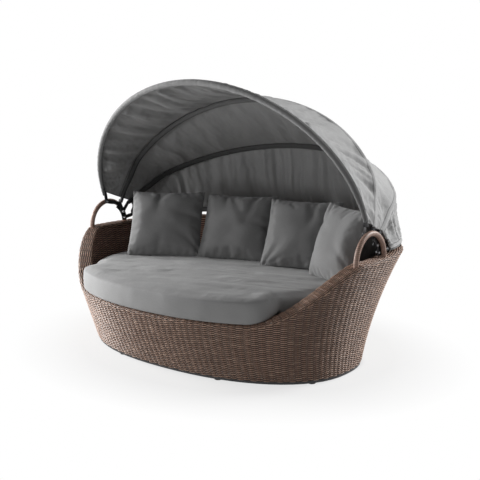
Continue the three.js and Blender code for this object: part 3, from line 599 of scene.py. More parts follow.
def outer_keep(count, row):
    return under_rim(count, row_height(row, SKIN_BOTTOM))


low_rows = int((FRONT_RIM - CROWN - row_height(0, SKIN_BOTTOM)) / STRAND_PITCH) + 1
all_rows = int((ARM_RIM - UNDER_CROWN - row_height(0, SKIN_BOTTOM)) / STRAND_PITCH) + 1
bands = [
    ("outer_weave_foot", 0, low_rows // 2, None),
    ("outer_weave_middle", low_rows // 2, low_rows, None),
    ("outer_weave_arms", low_rows, all_rows, outer_keep),
]
for name, first, last, keep in bands:
    band = strand_mat(name, last - first, STAKES)
    lay_mat(band, outer_place, keep, first_row=first)
    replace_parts(dress(band, strand_brown), "outer_weave")

# %% [markdown]
# ## Stakes
# The stakes stand between the strands, from the floor ring up to the rim band, one at each whole
# count. They are one rod, repeated round and then laid on the wall in the same way.

# %% Rods under the strands
ROD_SIDES = 6
ROD_CUTS = 8
ROD_WIDTH = 0.008
ROD_THICKNESS = 0.0034


def rods(name, count_from, count_to, place):
    """Upright rods at whole stake counts: Z runs from 0 at the foot to 1 at the top."""
    bpy.ops.mesh.primitive_cylinder_add(vertices=ROD_SIDES, radius=0.5, depth=1.0, location=(0, 0, 0.5))
    rod = settle(fresh(name))
    with editing(rod):
        for level in range(1, ROD_CUTS):
            bpy.ops.mesh.select_all(action="SELECT")
            bpy.ops.mesh.bisect(plane_co=(0, 0, level / ROD_CUTS), plane_no=(0, 0, 1))
    bpy.ops.transform.resize(value=(ROD_WIDTH / GAP, ROD_THICKNESS, 1))
    repeat(settle(rod), (1, 0, 0), count_to - count_from + 1)
    flat = points_of(rod)
    write_uv(rod, flat[:, [2, 0]])
    move_points(rod, place(flat[:, 0] + count_from, flat[:, 2], -flat[:, 1]))
    bpy.ops.object.shade_smooth()
    return report(rod)


def up_the_wall(count, share, foot, inset):
    """Points of the wall, at a share of the way from its foot up to the rim band."""
    angle = stake_angle(count)
    top = rim_height(angle) - UNDER_CROWN
    return on_wall(angle, foot + (top - foot) * share, inset)


def outer_rod(count, share, out):
    return up_the_wall(count, share, SKIN_BOTTOM, SKIN_MIDDLE - out)


outer_stakes = rods("outer_stakes", 0, STAKES - 1, outer_rod)
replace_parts(dress(outer_stakes, stake_brown), "outer_weave")

# %% [markdown]
# ## The inner skin
# Inside the arms and the back the same weave runs down behind the seat cushion. It faces the other
# way, so its mat is laid with the count running backwards.

# %% Inner rows and stakes
INNER_FOOT = 0.315
INNER_MIDDLE = WALL - SKIN_MIDDLE
inner_start = next(c for c in range(STAKES) if rim_height(stake_angle(c)) > FRONT_RIM + 2 * CROWN)
inner_end = STAKES - inner_start
inner_rows = int((ARM_RIM - UNDER_CROWN - INNER_FOOT) / STRAND_PITCH)


def inner_place(count, row, side, out):
    angle = stake_angle(inner_end - count)
    return on_wall(angle, row_height(row, INNER_FOOT) + side, INNER_MIDDLE + out)


def inner_keep(count, row):
    return under_rim(inner_end - count, row_height(row, INNER_FOOT))


def inner_rod(count, share, out):
    return up_the_wall(count, share, INNER_FOOT, INNER_MIDDLE + out)


weave_inner = strand_mat("inner_weave_rows", inner_rows, inner_end - inner_start)
lay_mat(weave_inner, inner_place, inner_keep)
inner_stakes = rods("inner_stakes", inner_start, inner_end, inner_rod)
for piece, brown in ((weave_inner, inner_brown), (inner_stakes, stake_brown)):
    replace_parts(dress(piece, brown), "inner_weave")

# %% [markdown]
# ## The rim
# Over the top of the wall the strands run along the rim, and short rods cross under them from the
# outer skin to the inner one. The rows follow the rounded crown of the rim band by arc length.

# %% Rows along the rim's crown
RIM_ROWS = 19
RIM_WAVE = 0.0022
RIM_MIDDLE = 0.004
LEAN = 0.004
crown_turn = np.linspace(0, math.pi, 721)
crown_half = WALL / 2 + RIM_LAP
crown_a = crown_half * np.sign(np.cos(crown_turn)) * np.abs(np.cos(crown_turn)) ** RIM_ROUND
crown_b = CROWN * np.abs(np.sin(crown_turn)) ** RIM_ROUND
crown_run = np.concatenate([[0.0], np.cumsum(np.hypot(np.diff(crown_a), np.diff(crown_b)))])
crown_length = float(crown_run[-1])
RIM_PITCH = crown_length / RIM_ROWS


def over_crown(run_over):
    """The places across and up, at a way over the crown from its outer edge."""
    return np.stack([np.interp(run_over, crown_run, side) for side in (crown_a, crown_b)])


def on_crown(count, run_over, out):
    """A point over the rim's crown: run_over is the way from its outer edge, out is lift."""
    a, b = over_crown(run_over)
    way_a, way_b = over_crown(run_over + LEAN) - over_crown(run_over - LEAN)
    length = np.hypot(way_a, way_b) + TINY
    a = a + (out - RIM_MIDDLE) * way_b / length
    b = b - (out - RIM_MIDDLE) * way_a / length
    angle = stake_angle(count)
    base = rim_height(angle) - CROWN
    x, y = wall(angle, base, WALL / 2 - a)
    return np.stack([x, y - PLAN_SHIFT, base + b], axis=-1)


def rim_place(count, row, side, out):
    return on_crown(count, (row + 0.5) * RIM_PITCH + side, out)


def rim_rod(count, share, out):
    return on_crown(count, share * crown_length, out)


rim_rows = strand_mat("rim_rows", RIM_ROWS, STAKES, RIM_PITCH)
lay_mat(rim_rows, rim_place, pitch=RIM_PITCH, wave=RIM_WAVE)
rim_stakes = rods("rim_stakes", 0, STAKES - 1, rim_rod)
for piece, brown in ((rim_rows, strand_brown), (rim_stakes, stake_brown)):
    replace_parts(dress(piece, brown), "rim_band")

# %% [markdown]
# ## The arches
# Each arm carries a loop of tube that is wrapped tightly with one strand. A torus gives the loop:
# its lower half is cut away and the two ends are extruded down into the rim. The wrap is a spiral
# ridge, so each ring of the tube is pushed in or out by where it lies along the spiral.

# %% Wrapped loops
ARCH_RADIUS = 0.137
ARCH_TUBE = 0.014
WRAP_PITCH = 0.009
WRAP_DEPTH = 0.0012
WRAP_EDGE = 0.6
ARCH_RINGS, TUBE_SIDES, LEG_RINGS = 420, 14, 22
LEVEL_SLACK = 0.00002


def select_lowest(piece):
    """Select the lowest ring of vertices."""
    z = points_of(piece)[:, 2]
    select_where(piece, z < z.min() + LEVEL_SLACK)


def arch_wrap(name, node):
    """The wrapped tube of one arch, a half ring on two legs, round the arch of the frame."""
    low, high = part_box(node)
    middle = Vector(((low[0] + high[0]) / 2, (low[1] + high[1]) / 2, high[2] - ARCH_RADIUS - ARCH_TUBE))
    bpy.ops.mesh.primitive_torus_add(
        major_segments=ARCH_RINGS,
        minor_segments=TUBE_SIDES,
        major_radius=ARCH_RADIUS,
        minor_radius=ARCH_TUBE - WRAP_DEPTH / 2,
        rotation=(0, math.pi / 2, 0),
    )
    loop = settle(fresh(name))
    with editing(loop):
        bpy.ops.mesh.bisect(plane_co=(0, 0, 0), plane_no=(0, 0, -1), clear_outer=True)
    leg = middle.z - low[2]
    for _ in range(LEG_RINGS):
        select_lowest(loop)
        with editing(loop, whole=False):
            bpy.ops.mesh.extrude_edges_move(TRANSFORM_OT_translate={"value": (0, 0, -leg / LEG_RINGS)})
    select_lowest(loop)
    with editing(loop, whole=False):
        bpy.ops.mesh.fill_holes(sides=0)
    points = points_of(loop)
    x, y, z = points.T
    on_leg = z < 0
    over = np.arctan2(z, y)
    leg_run = np.where(y > 0, z, math.pi * ARCH_RADIUS - z)
    run_along = np.where(on_leg, leg_run, over * ARCH_RADIUS)
    radial = np.where(on_leg, np.abs(y), np.hypot(y, z)) - ARCH_RADIUS
    about = np.arctan2(x, radial)
    phase = run_along / WRAP_PITCH + about / (2 * math.pi)
    push = WRAP_DEPTH * (np.abs(np.sin(math.pi * phase)) ** WRAP_EDGE - 0.5)
    centre_y = np.where(on_leg, np.sign(y), np.cos(over)) * ARCH_RADIUS
    centre_z = np.where(on_leg, z, np.sin(over) * ARCH_RADIUS)
    away = points - np.stack([0 * y, centre_y, centre_z], axis=-1)
    move_points(loop, points + away / norms(away) * push[:, None] + np.array(middle))
    write_uv(loop, np.stack([about * ARCH_TUBE, phase], axis=-1))
    pick(loop)
    bpy.ops.object.shade_smooth()
    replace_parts(dress(loop, wrap_brown), node)
    return report(loop)


for side in ("left", "right"):
    arch_wrap(f"arch_wrap_{side}", f"arch_{side}")

# %% [markdown]
# ## Canopy hoops and sleeves
# Each hoop is an oval: three lie in tilted planes, with their feet drawn in to the hinge, and the
# fourth is fixed above the back rim. The hoops themselves are CAD parts. What is seen of them is
# mostly the cloth sleeve, so a sleeve is drawn as a curve along the same line, given a round bevel
# and made a mesh. It is thinner at its ends, where other hoops' bars pass close by.

# %% The hoops' centre lines
ARCH_SIDE = 0.925
ARCH_CENTRE_Y = 0.018
BOW_HALF = ARCH_SIDE - 0.007
BOW_EXPONENT = 1.98
BOW_RADIUS = 0.011
TOE_START, TOE_END = 0.160, 0.330
SECOND_FOOT, THIRD_FOOT = 0.8896, 0.8848
REAR_HALF, REAR_DEPTH = RIM_HALF - 0.030, RIM_BACK - 0.030
REAR_HEIGHT = ARM_RIM + 0.030
REAR_RADIUS = 0.010
REAR_LEG_Y, REAR_LEG_SIDE, REAR_JOIN_Y = 0.172, 0.902, 0.262
LINE_POINTS = 260


def hoop(reach, tilt, foot_y, foot_z, foot_side, start):
    """Points along a folding hoop from its right foot to its left one, in a plane tilted in degrees."""
    first = math.asin((start / reach) ** (BOW_EXPONENT / 2))
    angle = np.linspace(first, math.pi - first, LINE_POINTS)
    c, s = np.cos(angle), np.abs(np.sin(angle))
    power = 2 / BOW_EXPONENT
    length = reach * s**power
    toe = (BOW_HALF - foot_side) * (1 - smooth(length, TOE_START, TOE_END))
    x = np.sign(c) * (BOW_HALF * np.abs(c) ** power - toe)
    y = ARCH_CENTRE_Y + foot_y + length * math.cos(math.radians(tilt)) - PLAN_SHIFT
    z = ARM_RIM + foot_z + length * math.sin(math.radians(tilt))
    return np.stack([x, y, z], axis=-1)


def rear_hoop():
    """Points along the fixed hoop above the back rim."""
    first = math.asin((REAR_LEG_Y / REAR_DEPTH) ** (BACK_EXPONENT / 2))
    angle = np.linspace(first, math.pi - first, LINE_POINTS)
    x, y = oval(angle, REAR_HALF, REAR_DEPTH, REAR_DEPTH)
    leg = REAR_LEG_SIDE + (np.abs(x) - REAR_LEG_SIDE) * smooth(y, REAR_LEG_Y, REAR_JOIN_Y)
    x = np.where(y < REAR_JOIN_Y, np.sign(x) * leg, x)
    return np.stack([x, y - PLAN_SHIFT, REAR_HEIGHT + 0 * x], axis=-1)


def resample(line, shares, bare):
    """Points of a line at shares of its length, between its two bare ends."""
    lengths = run_of(line)
    at = bare + shares * (lengths[-1] - 2 * bare)
    return np.stack([np.interp(at, lengths, line[:, k]) for k in range(3)], axis=-1)


def length_of(line):
    return float(run_of(line)[-1])


hoops = [
    hoop(0.731, 109.5, -0.036, 0.177, BOW_HALF, 0.0),
    hoop(0.710, 70.0, 0.065, 0.098, SECOND_FOOT, 0.025),
    hoop(0.707, 30.7, 0.140, 0.113, THIRD_FOOT, 0.0),
    rear_hoop(),
]
bare_ends = [0.026, 0.032, 0.025, 0.052]
radii = [BOW_RADIUS, BOW_RADIUS, BOW_RADIUS, REAR_RADIUS]
bow_words = ["front", "second", "third", "rear"]
bow_bodies = ["front_bow", "second_bow", "third_bow", "daybed"]
print("hoop lengths", [round(length_of(line), 3) for line in hoops])

# %% Sleeves on the hoops
SLEEVE = 0.0050
SNUG_SHARE = 0.2
SNUG_FROM, SNUG_TO = 0.02, 0.170
PUCKER = 0.0014
PUCKER_PITCH = 0.011
TUBE_MERGE = 0.00005
SLEEVE_POINTS, PUCKERED_POINTS = 200, 520


def sleeve_depth(line):
    """How far the sleeve stands off its hoop: it is snug at the feet, where the bars pass."""
    lengths = run_of(line)
    end = np.minimum(lengths, lengths[-1] - lengths)
    return SLEEVE * (SNUG_SHARE + (1 - SNUG_SHARE) * smooth(end, SNUG_FROM, SNUG_TO))


def tube_along(name, line, radius, sides):
    """A round tube along a line, closed at both ends, of one radius or one for each point."""
    radius = radius + np.zeros(len(line))
    data = bpy.data.curves.new(name, "CURVE")
    data.dimensions = "3D"
    data.bevel_depth = radius.max()
    data.bevel_resolution = sides
    data.use_fill_caps = True
    spline = data.splines.new("POLY")
    spline.points.add(len(line) - 1)
    spline.points.foreach_set("co", np.c_[line, np.ones(len(line))].astype(np.float32).ravel())
    spline.points.foreach_set("radius", (radius / radius.max()).astype(np.float32))
    tube = bpy.data.objects.new(name, data)
    bpy.context.scene.collection.objects.link(tube)
    pick(tube)
    bpy.ops.object.convert(target="MESH")
    tube = bpy.context.object
    with editing(tube):
        bpy.ops.mesh.remove_doubles(threshold=TUBE_MERGE)
        bpy.ops.mesh.normals_make_consistent(inside=False)
    bpy.ops.object.shade_smooth_by_angle(angle=math.radians(50))
    return report(tube)


def pucker(sleeve, line):
    """Gather a sleeve in small uneven ridges across its length."""
    points = points_of(sleeve)
    near = nearest_on(line, points)
    away = points - line[near]
    wave = noise_at([(way / PUCKER_PITCH, 0.3, 7.7) for way in run_of(line)[near]])
    move_points(sleeve, points + away / norms(away) * (PUCKER * wave)[:, None])


sleeve_finish = [edge_cloth, sleeve_cloth, sleeve_cloth, edge_cloth]
for i, word in enumerate(bow_words):
    count = PUCKERED_POINTS if word == "front" else SLEEVE_POINTS
    line = resample(hoops[i], np.linspace(0, 1, count), bare_ends[i])
    sleeve = tube_along(f"sleeve_{word}", line, radii[i] + sleeve_depth(line), 4)
    if word == "front":
        pucker(sleeve, line)
    dress(sleeve, sleeve_finish[i], bow_bodies[i])

# %% [markdown]
# ## Canopy cloth
# The cloth is one shell, sewn over the hoops. It is made as three panels that meet on top of each
# sleeve, because each panel has to fold between its own two hoops. A panel starts as a grid. Its
# points are laid from hoop to hoop, hang a little between them, and are pushed into the tension
# folds that cloth gets between stiff hoops. Solidify gives it the thickness of the cloth. A thin
# rolled hem closes each open side, set a little inwards so that it clears the bars.

# %% Lay the panels
ALONG = 400
ACROSS = 36
CLOTH = 0.0016
RIDGE, RIDGE_WIDTH = 0.0050, 0.019
FREE_WAY = 0.045
SLANT = 0.015
SLEEVE_GAP = 0.0004
pivot_y = frame["joints"][0].get("pos_m", (0, 0.0131, 0.6782))[1]


def outward_of(line, previous, following):
    """The way out of the canopy at each point of a hoop."""
    tangent = np.gradient(line, axis=0)
    total = np.zeros_like(line)
    for other, sign in ((previous, -1), (following, 1)):
        if other is None:
            continue
        chord = (other - line) * sign
        chord /= np.linalg.norm(chord, axis=1)[:, None]
        normal = np.cross(chord, tangent)
        normal /= np.linalg.norm(normal, axis=1)[:, None]
        away = line - np.array([0, pivot_y, ARM_RIM])
        normal *= np.sign((normal * away).sum(axis=1))[:, None]
        total += normal
    return total / np.linalg.norm(total, axis=1)[:, None]


shares = np.linspace(0, 1, ALONG + 1)
stations = [resample(line, shares, bare) for line, bare in zip(hoops, bare_ends)]
neighbours = zip([None] + stations[:-1], stations, stations[1:] + [None])
ways_out = [outward_of(line, previous, following) for previous, line, following in neighbours]
cloth_radii = [(r + sleeve_depth(line) + CLOTH / 2)[:, None] for r, line in zip(radii, stations)]
edges = [line + way * r for line, way, r in zip(stations, ways_out, cloth_radii)]


def fold_noise(u, v, seed, count):
    """Crisp folds that run from hoop to hoop, in uneven groups, drifting a little across."""
    values = np.empty(u.shape)
    for index in np.ndindex(u.shape):
        along, across = u[index], v[index]
        drift = 1.2 * noise.noise(Vector((along * 6, across * 1.5, seed + 20)))
        at = Vector((along * count + drift, across * 0.9, seed))
        crest = max(0.0, 1 - 3.0 * abs(noise.noise(at * 0.8 + Vector((0, 0, 9.1)))))
        group = smooth(noise.noise(Vector((along * count / 5, across, seed + 40))), -0.35, 0.25)
        crumple = noise.noise(Vector((along * 110, across * 16, seed + 60)))
        values[index] = 1.3 * noise.noise(at) + 0.8 * crest * group + 0.30 * crumple
    return values


def keep_off(points, centres, radius):
    """Push points that are too near a hoop's centre line out to the radius of its sleeve."""
    away = points - centres
    length = norms(away)
    return centres + away * np.maximum(length, radius) / length


def canopy_panel(name, near, sag, fold, reach, count, seed):
    """One panel between hoop near and the next one back. Its folds fade from front to back by reach."""
    bpy.ops.mesh.primitive_grid_add(x_subdivisions=ALONG, y_subdivisions=ACROSS, size=1)
    panel = fresh(name)
    flat = points_of(panel)
    i = np.rint((flat[:, 0] + 0.5) * ALONG).astype(int)
    k = np.rint((flat[:, 1] + 0.5) * ACROSS).astype(int)
    u = i / ALONG
    v = 0.5 - 0.5 * np.cos(math.pi * k / ACROSS)
    a, b = edges[near][i], edges[near + 1][i]
    out = ways_out[near][i] * (1 - v[:, None]) + ways_out[near + 1][i] * v[:, None]
    out /= np.linalg.norm(out, axis=1)[:, None]
    hang = sag * np.sin(math.pi * v) ** 1.5 * np.sin(math.pi * np.clip(u, 0, 1)) ** 0.5
    edge = np.minimum(v, 1 - v) * np.linalg.norm(b - a, axis=1)
    free = smooth(edge, 0.0, FREE_WAY) * (1 - reach * v)
    lift = RIDGE * (np.exp(-((edge / RIDGE_WIDTH) ** 2)) - 1) - hang
    lift = lift - fold * free * fold_noise(u + SLANT * v, v, seed, count)
    laid = a * (1 - v[:, None]) + b * v[:, None] + out * lift[:, None]
    for number in (near, near + 1):
        laid = keep_off(laid, stations[number][i], cloth_radii[number][i] + SLEEVE_GAP)
    move_points(panel, laid)
    write_values(panel, "across", v)
    write_values(panel, "from_hoop", edge)
    solid = panel.modifiers.new("cloth", "SOLIDIFY")
    solid.thickness = CLOTH
    solid.offset = 0
    with editing(apply_modifiers(panel)):
        bpy.ops.mesh.normals_make_consistent(inside=False)
    bpy.ops.object.shade_smooth()
    sides = []
    for end in (0, ALONG):
        on_side = np.flatnonzero(i == end)
        on_side = on_side[np.argsort(k[on_side])]
        sides.append(((laid - out * HEM)[on_side], v[on_side]))
    return report(panel), sides


HEM = 0.0022


def fold_with(piece):
    """Put the piece's place into its mesh, and read the share across the panel at each point."""
    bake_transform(piece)
    values = np.empty(len(piece.data.vertices), dtype=np.float32)
    piece.data.attributes["across"].data.foreach_get("value", values)


def hem_along(name, line, places):
    """The rolled hem on a panel's open side, which keeps each point's share across the panel."""
    hem = tube_along(name, line, HEM, 2)
    write_values(hem, "across", places[nearest_on(line, points_of(hem))])
    hem.data.materials.append(edge_cloth)
    fold_with(hem)
    return hem


# Name, frame node, sag, depth of the folds, their fading, their number, seed.
panel_settings = [
    ("canopy_cloth_front", "canopy_front", 0.018, 0.0240, 0.60, 42, 1.7),
    ("canopy_cloth_middle", "canopy_middle", 0.016, 0.0100, 0.2, 34, 5.2),
    ("canopy_cloth_rear", "canopy_rear", 0.012, 0.0200, 0.15, 50, 9.4),
]
for near, (name, node, sag, fold, reach, count, seed) in enumerate(panel_settings):
    panel, sides = canopy_panel(name, near, sag, fold, reach, count, seed)
    panel.data.materials.append(canopy_cloth)
    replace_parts(panel, node)
    fold_with(panel)
    rolled = [
        hem_along(f"hem_{bow_words[near]}_{word}", line, places)
        for word, (line, places) in zip(("right", "left"), sides)
    ]

# %% [markdown]
# ## Padded pieces
# Both kinds of cushion start as a slab: a grid of squares is extruded to a closed box, and the box
# is bisected where its sides need rings. A rule then moves the points to the stuffed shape, and the
# Cloth simulation's pressure swells the cover between its seams. How far a point may move is capped,
# so that a cushion keeps its place. Modelling the swell by hand would look too even.

# %% A slab of squares, and its swelling
SWELL_FRAMES = 20


def slab(name, cells, levels=()):
    """A closed box of square cells: X and Y from -1 to 1, Z from 0 to 1, cut at the levels."""
    bpy.ops.mesh.primitive_grid_add(x_subdivisions=cells, y_subdivisions=cells, size=2)
    piece = fresh(name)
    with editing(piece):
        bpy.ops.mesh.extrude_region_move(TRANSFORM_OT_translate={"value": (0, 0, 1)})
        for level in levels:
            bpy.ops.mesh.select_all(action="SELECT")
            bpy.ops.mesh.bisect(plane_co=(0, 0, level), plane_no=(0, 0, 1))
        bpy.ops.mesh.select_all(action="SELECT")
        bpy.ops.mesh.normals_make_consistent(inside=False)
    return piece


def swell(piece, pressure, cap, held, shrink=0.0):
    """Inflate the cover with cloth pressure while the held points stay, each within the cap."""
    before = points_of(piece)
    pick(piece)
    seams = piece.vertex_groups.new(name="seams")
    seams.add([int(i) for i in np.flatnonzero(held)], 1.0, "REPLACE")
    modifier = piece.modifiers.new("cover", "CLOTH")
    settings = modifier.settings
    settings.vertex_group_mass = "seams"
    settings.use_pressure = True
    settings.uniform_pressure_force = pressure
    settings.effector_weights.gravity = 0
    settings.quality = 5
    settings.mass = 0.3
    settings.tension_stiffness = 15
    settings.compression_stiffness = 15
    settings.bending_stiffness = 0.1
    settings.shrink_min = shrink
    modifier.point_cache.frame_start = 1
    modifier.point_cache.frame_end = SWELL_FRAMES
    for number in range(1, SWELL_FRAMES + 1):
        bpy.context.scene.frame_set(number)
    apply_modifiers(piece)
    bpy.context.scene.frame_set(1)
    step = points_of(piece) - before
    length = norms(step)
    move_points(piece, before + step * np.minimum(length, cap) / length)
    piece.vertex_groups.clear()
    pushed = float(length.max())
    print(piece.name, "pushed up to", round(pushed / MM, 1), "mm, held to", round(cap / MM, 1), "mm")


def finish_cover(piece, material, node):
    """One subdivision, smooth shading, finish and place in the frame."""
    modifier = piece.modifiers.new("smooth", "SUBSURF")
    modifier.levels = 1
    modifier.render_levels = 1
    apply_modifiers(piece)
    bpy.ops.object.shade_smooth()
    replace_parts(dress(piece, material), node)
    report(piece)


def wrinkles(points, seed):
    """Slow noise in three octaves, about -1 to 1."""
    return np.array([noise.fractal(Vector(p) + Vector((seed, 0, 0)), 1.0, 2.0, 3) for p in points])


# %% [markdown]
# ## The seat cushion
# A boxed foam cushion in a sewn cover: a top panel and a side panel meet in a crisp seam. In front it
# lies over the low rim, and elsewhere it fits inside the walls. The squares of the slab are wrapped
# into rings for the oval, so there is no pole in the middle that would pinch the cover.

# %% Seat cushion
SEAT_BOTTOM, SEAT_TOP = 0.3353, 0.4573
SEAT_CELLS = 72
SEAT_EDGE = 0.008
SEAT_CLEAR = 0.0003
SHELF = 0.034
SEAT_CROWN = 0.009
PUFF, PUFF_WAY = 0.005, 0.05
TUCK_RISE = 0.060
TUCKS, TUCK_DEPTH = 110, 0.004
SEAM_LEVEL = 0.85
side_levels = [0.00, 0.08, 0.16, 0.24, 0.34, 0.44, 0.54, 0.64, 0.74, SEAM_LEVEL, 0.93, 1.00]
side_inward = [0.00, 0.00, 0.007, 0.0015, -0.001, -0.002, -0.002, -0.002, -0.001, 0.0015, 0.005, 0.014]
side_upward = [0.00, 0.00, 0.00, 0.05, 0.15, 0.30, 0.45, 0.60, 0.75, 0.91, 0.975, 1.01]


def ring_angle(a, b):
    """The angle of a square's ring: each side of the square becomes a quarter turn."""
    wide = np.abs(a) >= np.abs(b)
    safe_a = np.where(a == 0, 1, a)
    safe_b = np.where(b == 0, 1, b)
    turn = np.where(wide, math.pi / 4 * b / safe_a, math.pi / 2 - math.pi / 4 * a / safe_b)
    radius = np.where(wide, a, b)
    return np.arctan2(radius * np.sin(turn), radius * np.cos(turn))


seat = slab("seat_cushion_cover", SEAT_CELLS, side_levels[1:-1])
square = points_of(seat)
share = np.maximum(np.abs(square[:, 0]), np.abs(square[:, 1]))
angle = ring_angle(square[:, 0], square[:, 1])
level = square[:, 2]
rim_here = rim_height(angle)
tuck = smooth(rim_here, FRONT_RIM, FRONT_RIM + TUCK_RISE)
reach = SEAT_EDGE + WALL * tuck
shelf = np.maximum(reach + SHELF, WALL + SEAT_EDGE)
inset = reach + np.interp(level, side_levels, side_inward)
inset = np.where(level < 0.12, shelf + np.where(level < 0.04, SEAT_EDGE, 0), inset)
foot = np.where(tuck < 1, rim_here + SEAT_CLEAR, SEAT_BOTTOM)
z = foot + (SEAT_TOP - foot) * np.interp(level, side_levels, side_upward)
z = np.where(level < 0.04, SEAT_BOTTOM, z)
x, y = wall(angle, np.full_like(z, SEAT_BOTTOM), inset)
tucked = smooth(tuck, 0.0, 0.25) * (1 - smooth(tuck, 0.6, 1.0)) * smooth(share, 0.72, 0.95)
pulled = tucked * np.sin(angle * TUCKS + 9 * share)
puff = PUFF * (1 - np.exp(-np.clip(1 - share, 0, 1) / PUFF_WAY))
z = z + np.where(level > 0.99, SEAT_CROWN * (1 - share**2) + puff, 0)
z = z + np.where(level > 0.8, TUCK_DEPTH * pulled, 0)
move_points(seat, np.stack([x * share, y * share - PLAN_SHIFT, z], axis=-1))
swell(seat, 3.0, 0.006, held=(level < 0.28) | (np.abs(level - SEAM_LEVEL) < 0.03))

# %% Creases of the seat cover
FOLD_RISE, FOLD_DENT = 0.006, 0.0045
SIDE_RISE = 0.0048
TOP_BLEND = 0.004
points = points_of(seat)
x, y, z = points.T
on_top = smooth(z, SEAT_TOP - TOP_BLEND, SEAT_TOP + TOP_BLEND)
folds = wrinkles(np.stack([x * 1.6 + y * 0.7, y * 8 - x * 2.2, 0 * z], axis=-1), 4.0)
dents = np.clip(1 - 5 * np.abs(folds), 0, 1)
points[:, 2] += on_top * (FOLD_RISE * folds - FOLD_DENT * dents)
side = (1 - on_top) * (z > SEAT_BOTTOM + 0.01)
points[:, :2] *= (1 + side * wrinkles(points * np.array([8, 8, 2.4]), 8.0) * SIDE_RISE)[:, None]
move_points(seat, points)
finish_cover(seat, seat_cloth, "seat_cushion")

# %% [markdown]
# ## The back cushions
# A throw cushion is two square sheets of cloth, sewn round the edge and stuffed. Its middle stands
# full, its sides pull in a little between pointed corners, and the cover puckers along the seam and
# creases where the stuffing gives. Here the slab gets that stuffed form, a few creases of its own,
# and then the pressure of the filling.

# %% Five stuffed squares
PILLOW_THICK = 0.132
PILLOW_DRAW = 0.010
PILLOW_CELLS = 44
SEAM_THICK = 0.004
PUCKER_RISE, PUCKER_FADE = 0.012, 0.12
CREASE_LINES, CREASE_RISE = 5, 0.009
LUMP_RISE, LUMP_SCALE = 0.010, 1.6
# Swing and lean in degrees; shares of the basket for the place in X and Y, the width and the height.
pillow_table = [
    (31.5, 31.0, -0.431, -0.0416, 0.4515, 0.4278),
    (21.0, 33.0, -0.0423, 0.1559, 0.4433, 0.4278),
    (17.0, 31.0, 0.3887, 0.194, 0.433, 0.4227),
    (-27.0, 18.0, 0.6825, 0.0393, 0.3794, 0.4175),
    (-70.0, 12.0, 0.7072, 0.3718, 0.3794, 0.4175),
]


def crease_lines(u, v, random):
    """Dents that start at the seam and die out towards the middle."""
    total = np.zeros_like(u)
    for _ in range(CREASE_LINES):
        start = random.uniform(-1, 1, 2)
        start /= np.abs(start).max()
        aim = random.uniform(-0.5, 0.5, 2) - start
        length = float(np.linalg.norm(aim))
        aim /= length
        along = (u - start[0]) * aim[0] + (v - start[1]) * aim[1]
        off = (u - start[0]) * aim[1] - (v - start[1]) * aim[0]
        off = off + 0.2 * random.uniform(-1, 1) * along * along
        width = 0.045 + 0.09 * np.clip(along, 0, 1)
        fade = smooth(along, -0.05, 0.10) * (1 - smooth(along, 0.3 * length, 0.95 * length))
        total += np.exp(-((off / width) ** 2)) * fade
    return total


def stuffed_square(name, width, height, seed):
    """A stuffed cushion that stands in the XZ plane on its lower seam."""
    pillow = slab(name, PILLOW_CELLS)
    square = points_of(pillow)
    u = np.sin(square[:, 0] * math.pi / 2)
    v = np.sin(square[:, 1] * math.pi / 2)
    front = np.where(square[:, 2] > 0.5, -1.0, 1.0)
    random = np.random.default_rng(seed)
    rise = np.clip((1 - u * u) * (1 - v * v), 0, 1) ** 0.5
    edge = np.minimum(1 - np.abs(u), 1 - np.abs(v))
    puckers = noise_at(np.stack([u * 9, v * 9, 3 * front + seed], axis=-1))
    puckers = puckers * np.exp(-edge / PUCKER_FADE) * smooth(edge, 0, 0.02)
    lumps = noise_at(np.stack([u * LUMP_SCALE, v * LUMP_SCALE, seed + front], axis=-1))
    y = SEAM_THICK / 2 + PILLOW_THICK / 2 * rise + PUCKER_RISE * puckers
    y -= CREASE_RISE * crease_lines(u, v, random) * smooth(edge, 0, 0.1)
    y += LUMP_RISE * lumps * rise
    x = u * width / 2 - PILLOW_DRAW * (1 - v * v) * u**3
    z = v * height / 2 - PILLOW_DRAW * (1 - u * u) * v**3
    move_points(pillow, np.stack([x, front * np.maximum(y, SEAM_THICK / 2), z + height / 2], axis=-1))
    swell(pillow, 4.0, 0.008, held=edge < 0.001, shrink=-0.02)
    return pillow


for i, (swing, lean, x_share, y_share, width_share, height_share) in enumerate(pillow_table):
    node = f"back_cushion_{i + 1}"
    pillow = stuffed_square(f"{node}_cover", width_share * RIM_HALF, height_share * RIM_HALF, 3 * i + 1)
    spin = Matrix.Rotation(math.radians(swing), 4, "Z") @ Matrix.Rotation(math.radians(-lean), 4, "X")
    pillow.data.transform(spin)
    points = points_of(pillow)
    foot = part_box(node)[0][2]
    lift = np.array([x_share * RIM_HALF, y_share * RIM_BACK - PLAN_SHIFT, foot - points[:, 2].min()])
    move_points(pillow, points + lift)
    finish_cover(pillow, pillow_cloth, node)

# %% [markdown]
# ## Finishes of the frame's own parts
# The remaining parts keep their CAD shape and only get a finish, by the longest word here that
# their name starts with.

# %% Dress the CAD parts
finishes = {
    "tube_frame": black_coat,
    "glide": glide_plastic,
    "seat_slat": slat_coat,
    "hinge_plate": black_coat,
    "pivot_bolt": bright_steel,
    "pivot_nut": bright_steel,
    "rear_bow_bolt": bright_steel,
    "rear_bow_nut": bright_steel,
    "rear_bow": black_coat,
    "bow_1_rivet": bright_steel,
    "bow_": black_coat,
}
for name, node in nodes.items():
    word = next((w for w in sorted(finishes, key=len, reverse=True) if name.startswith(w)), None)
    if word:
        for slot in node.material_slots:
            slot.material = finishes[word]

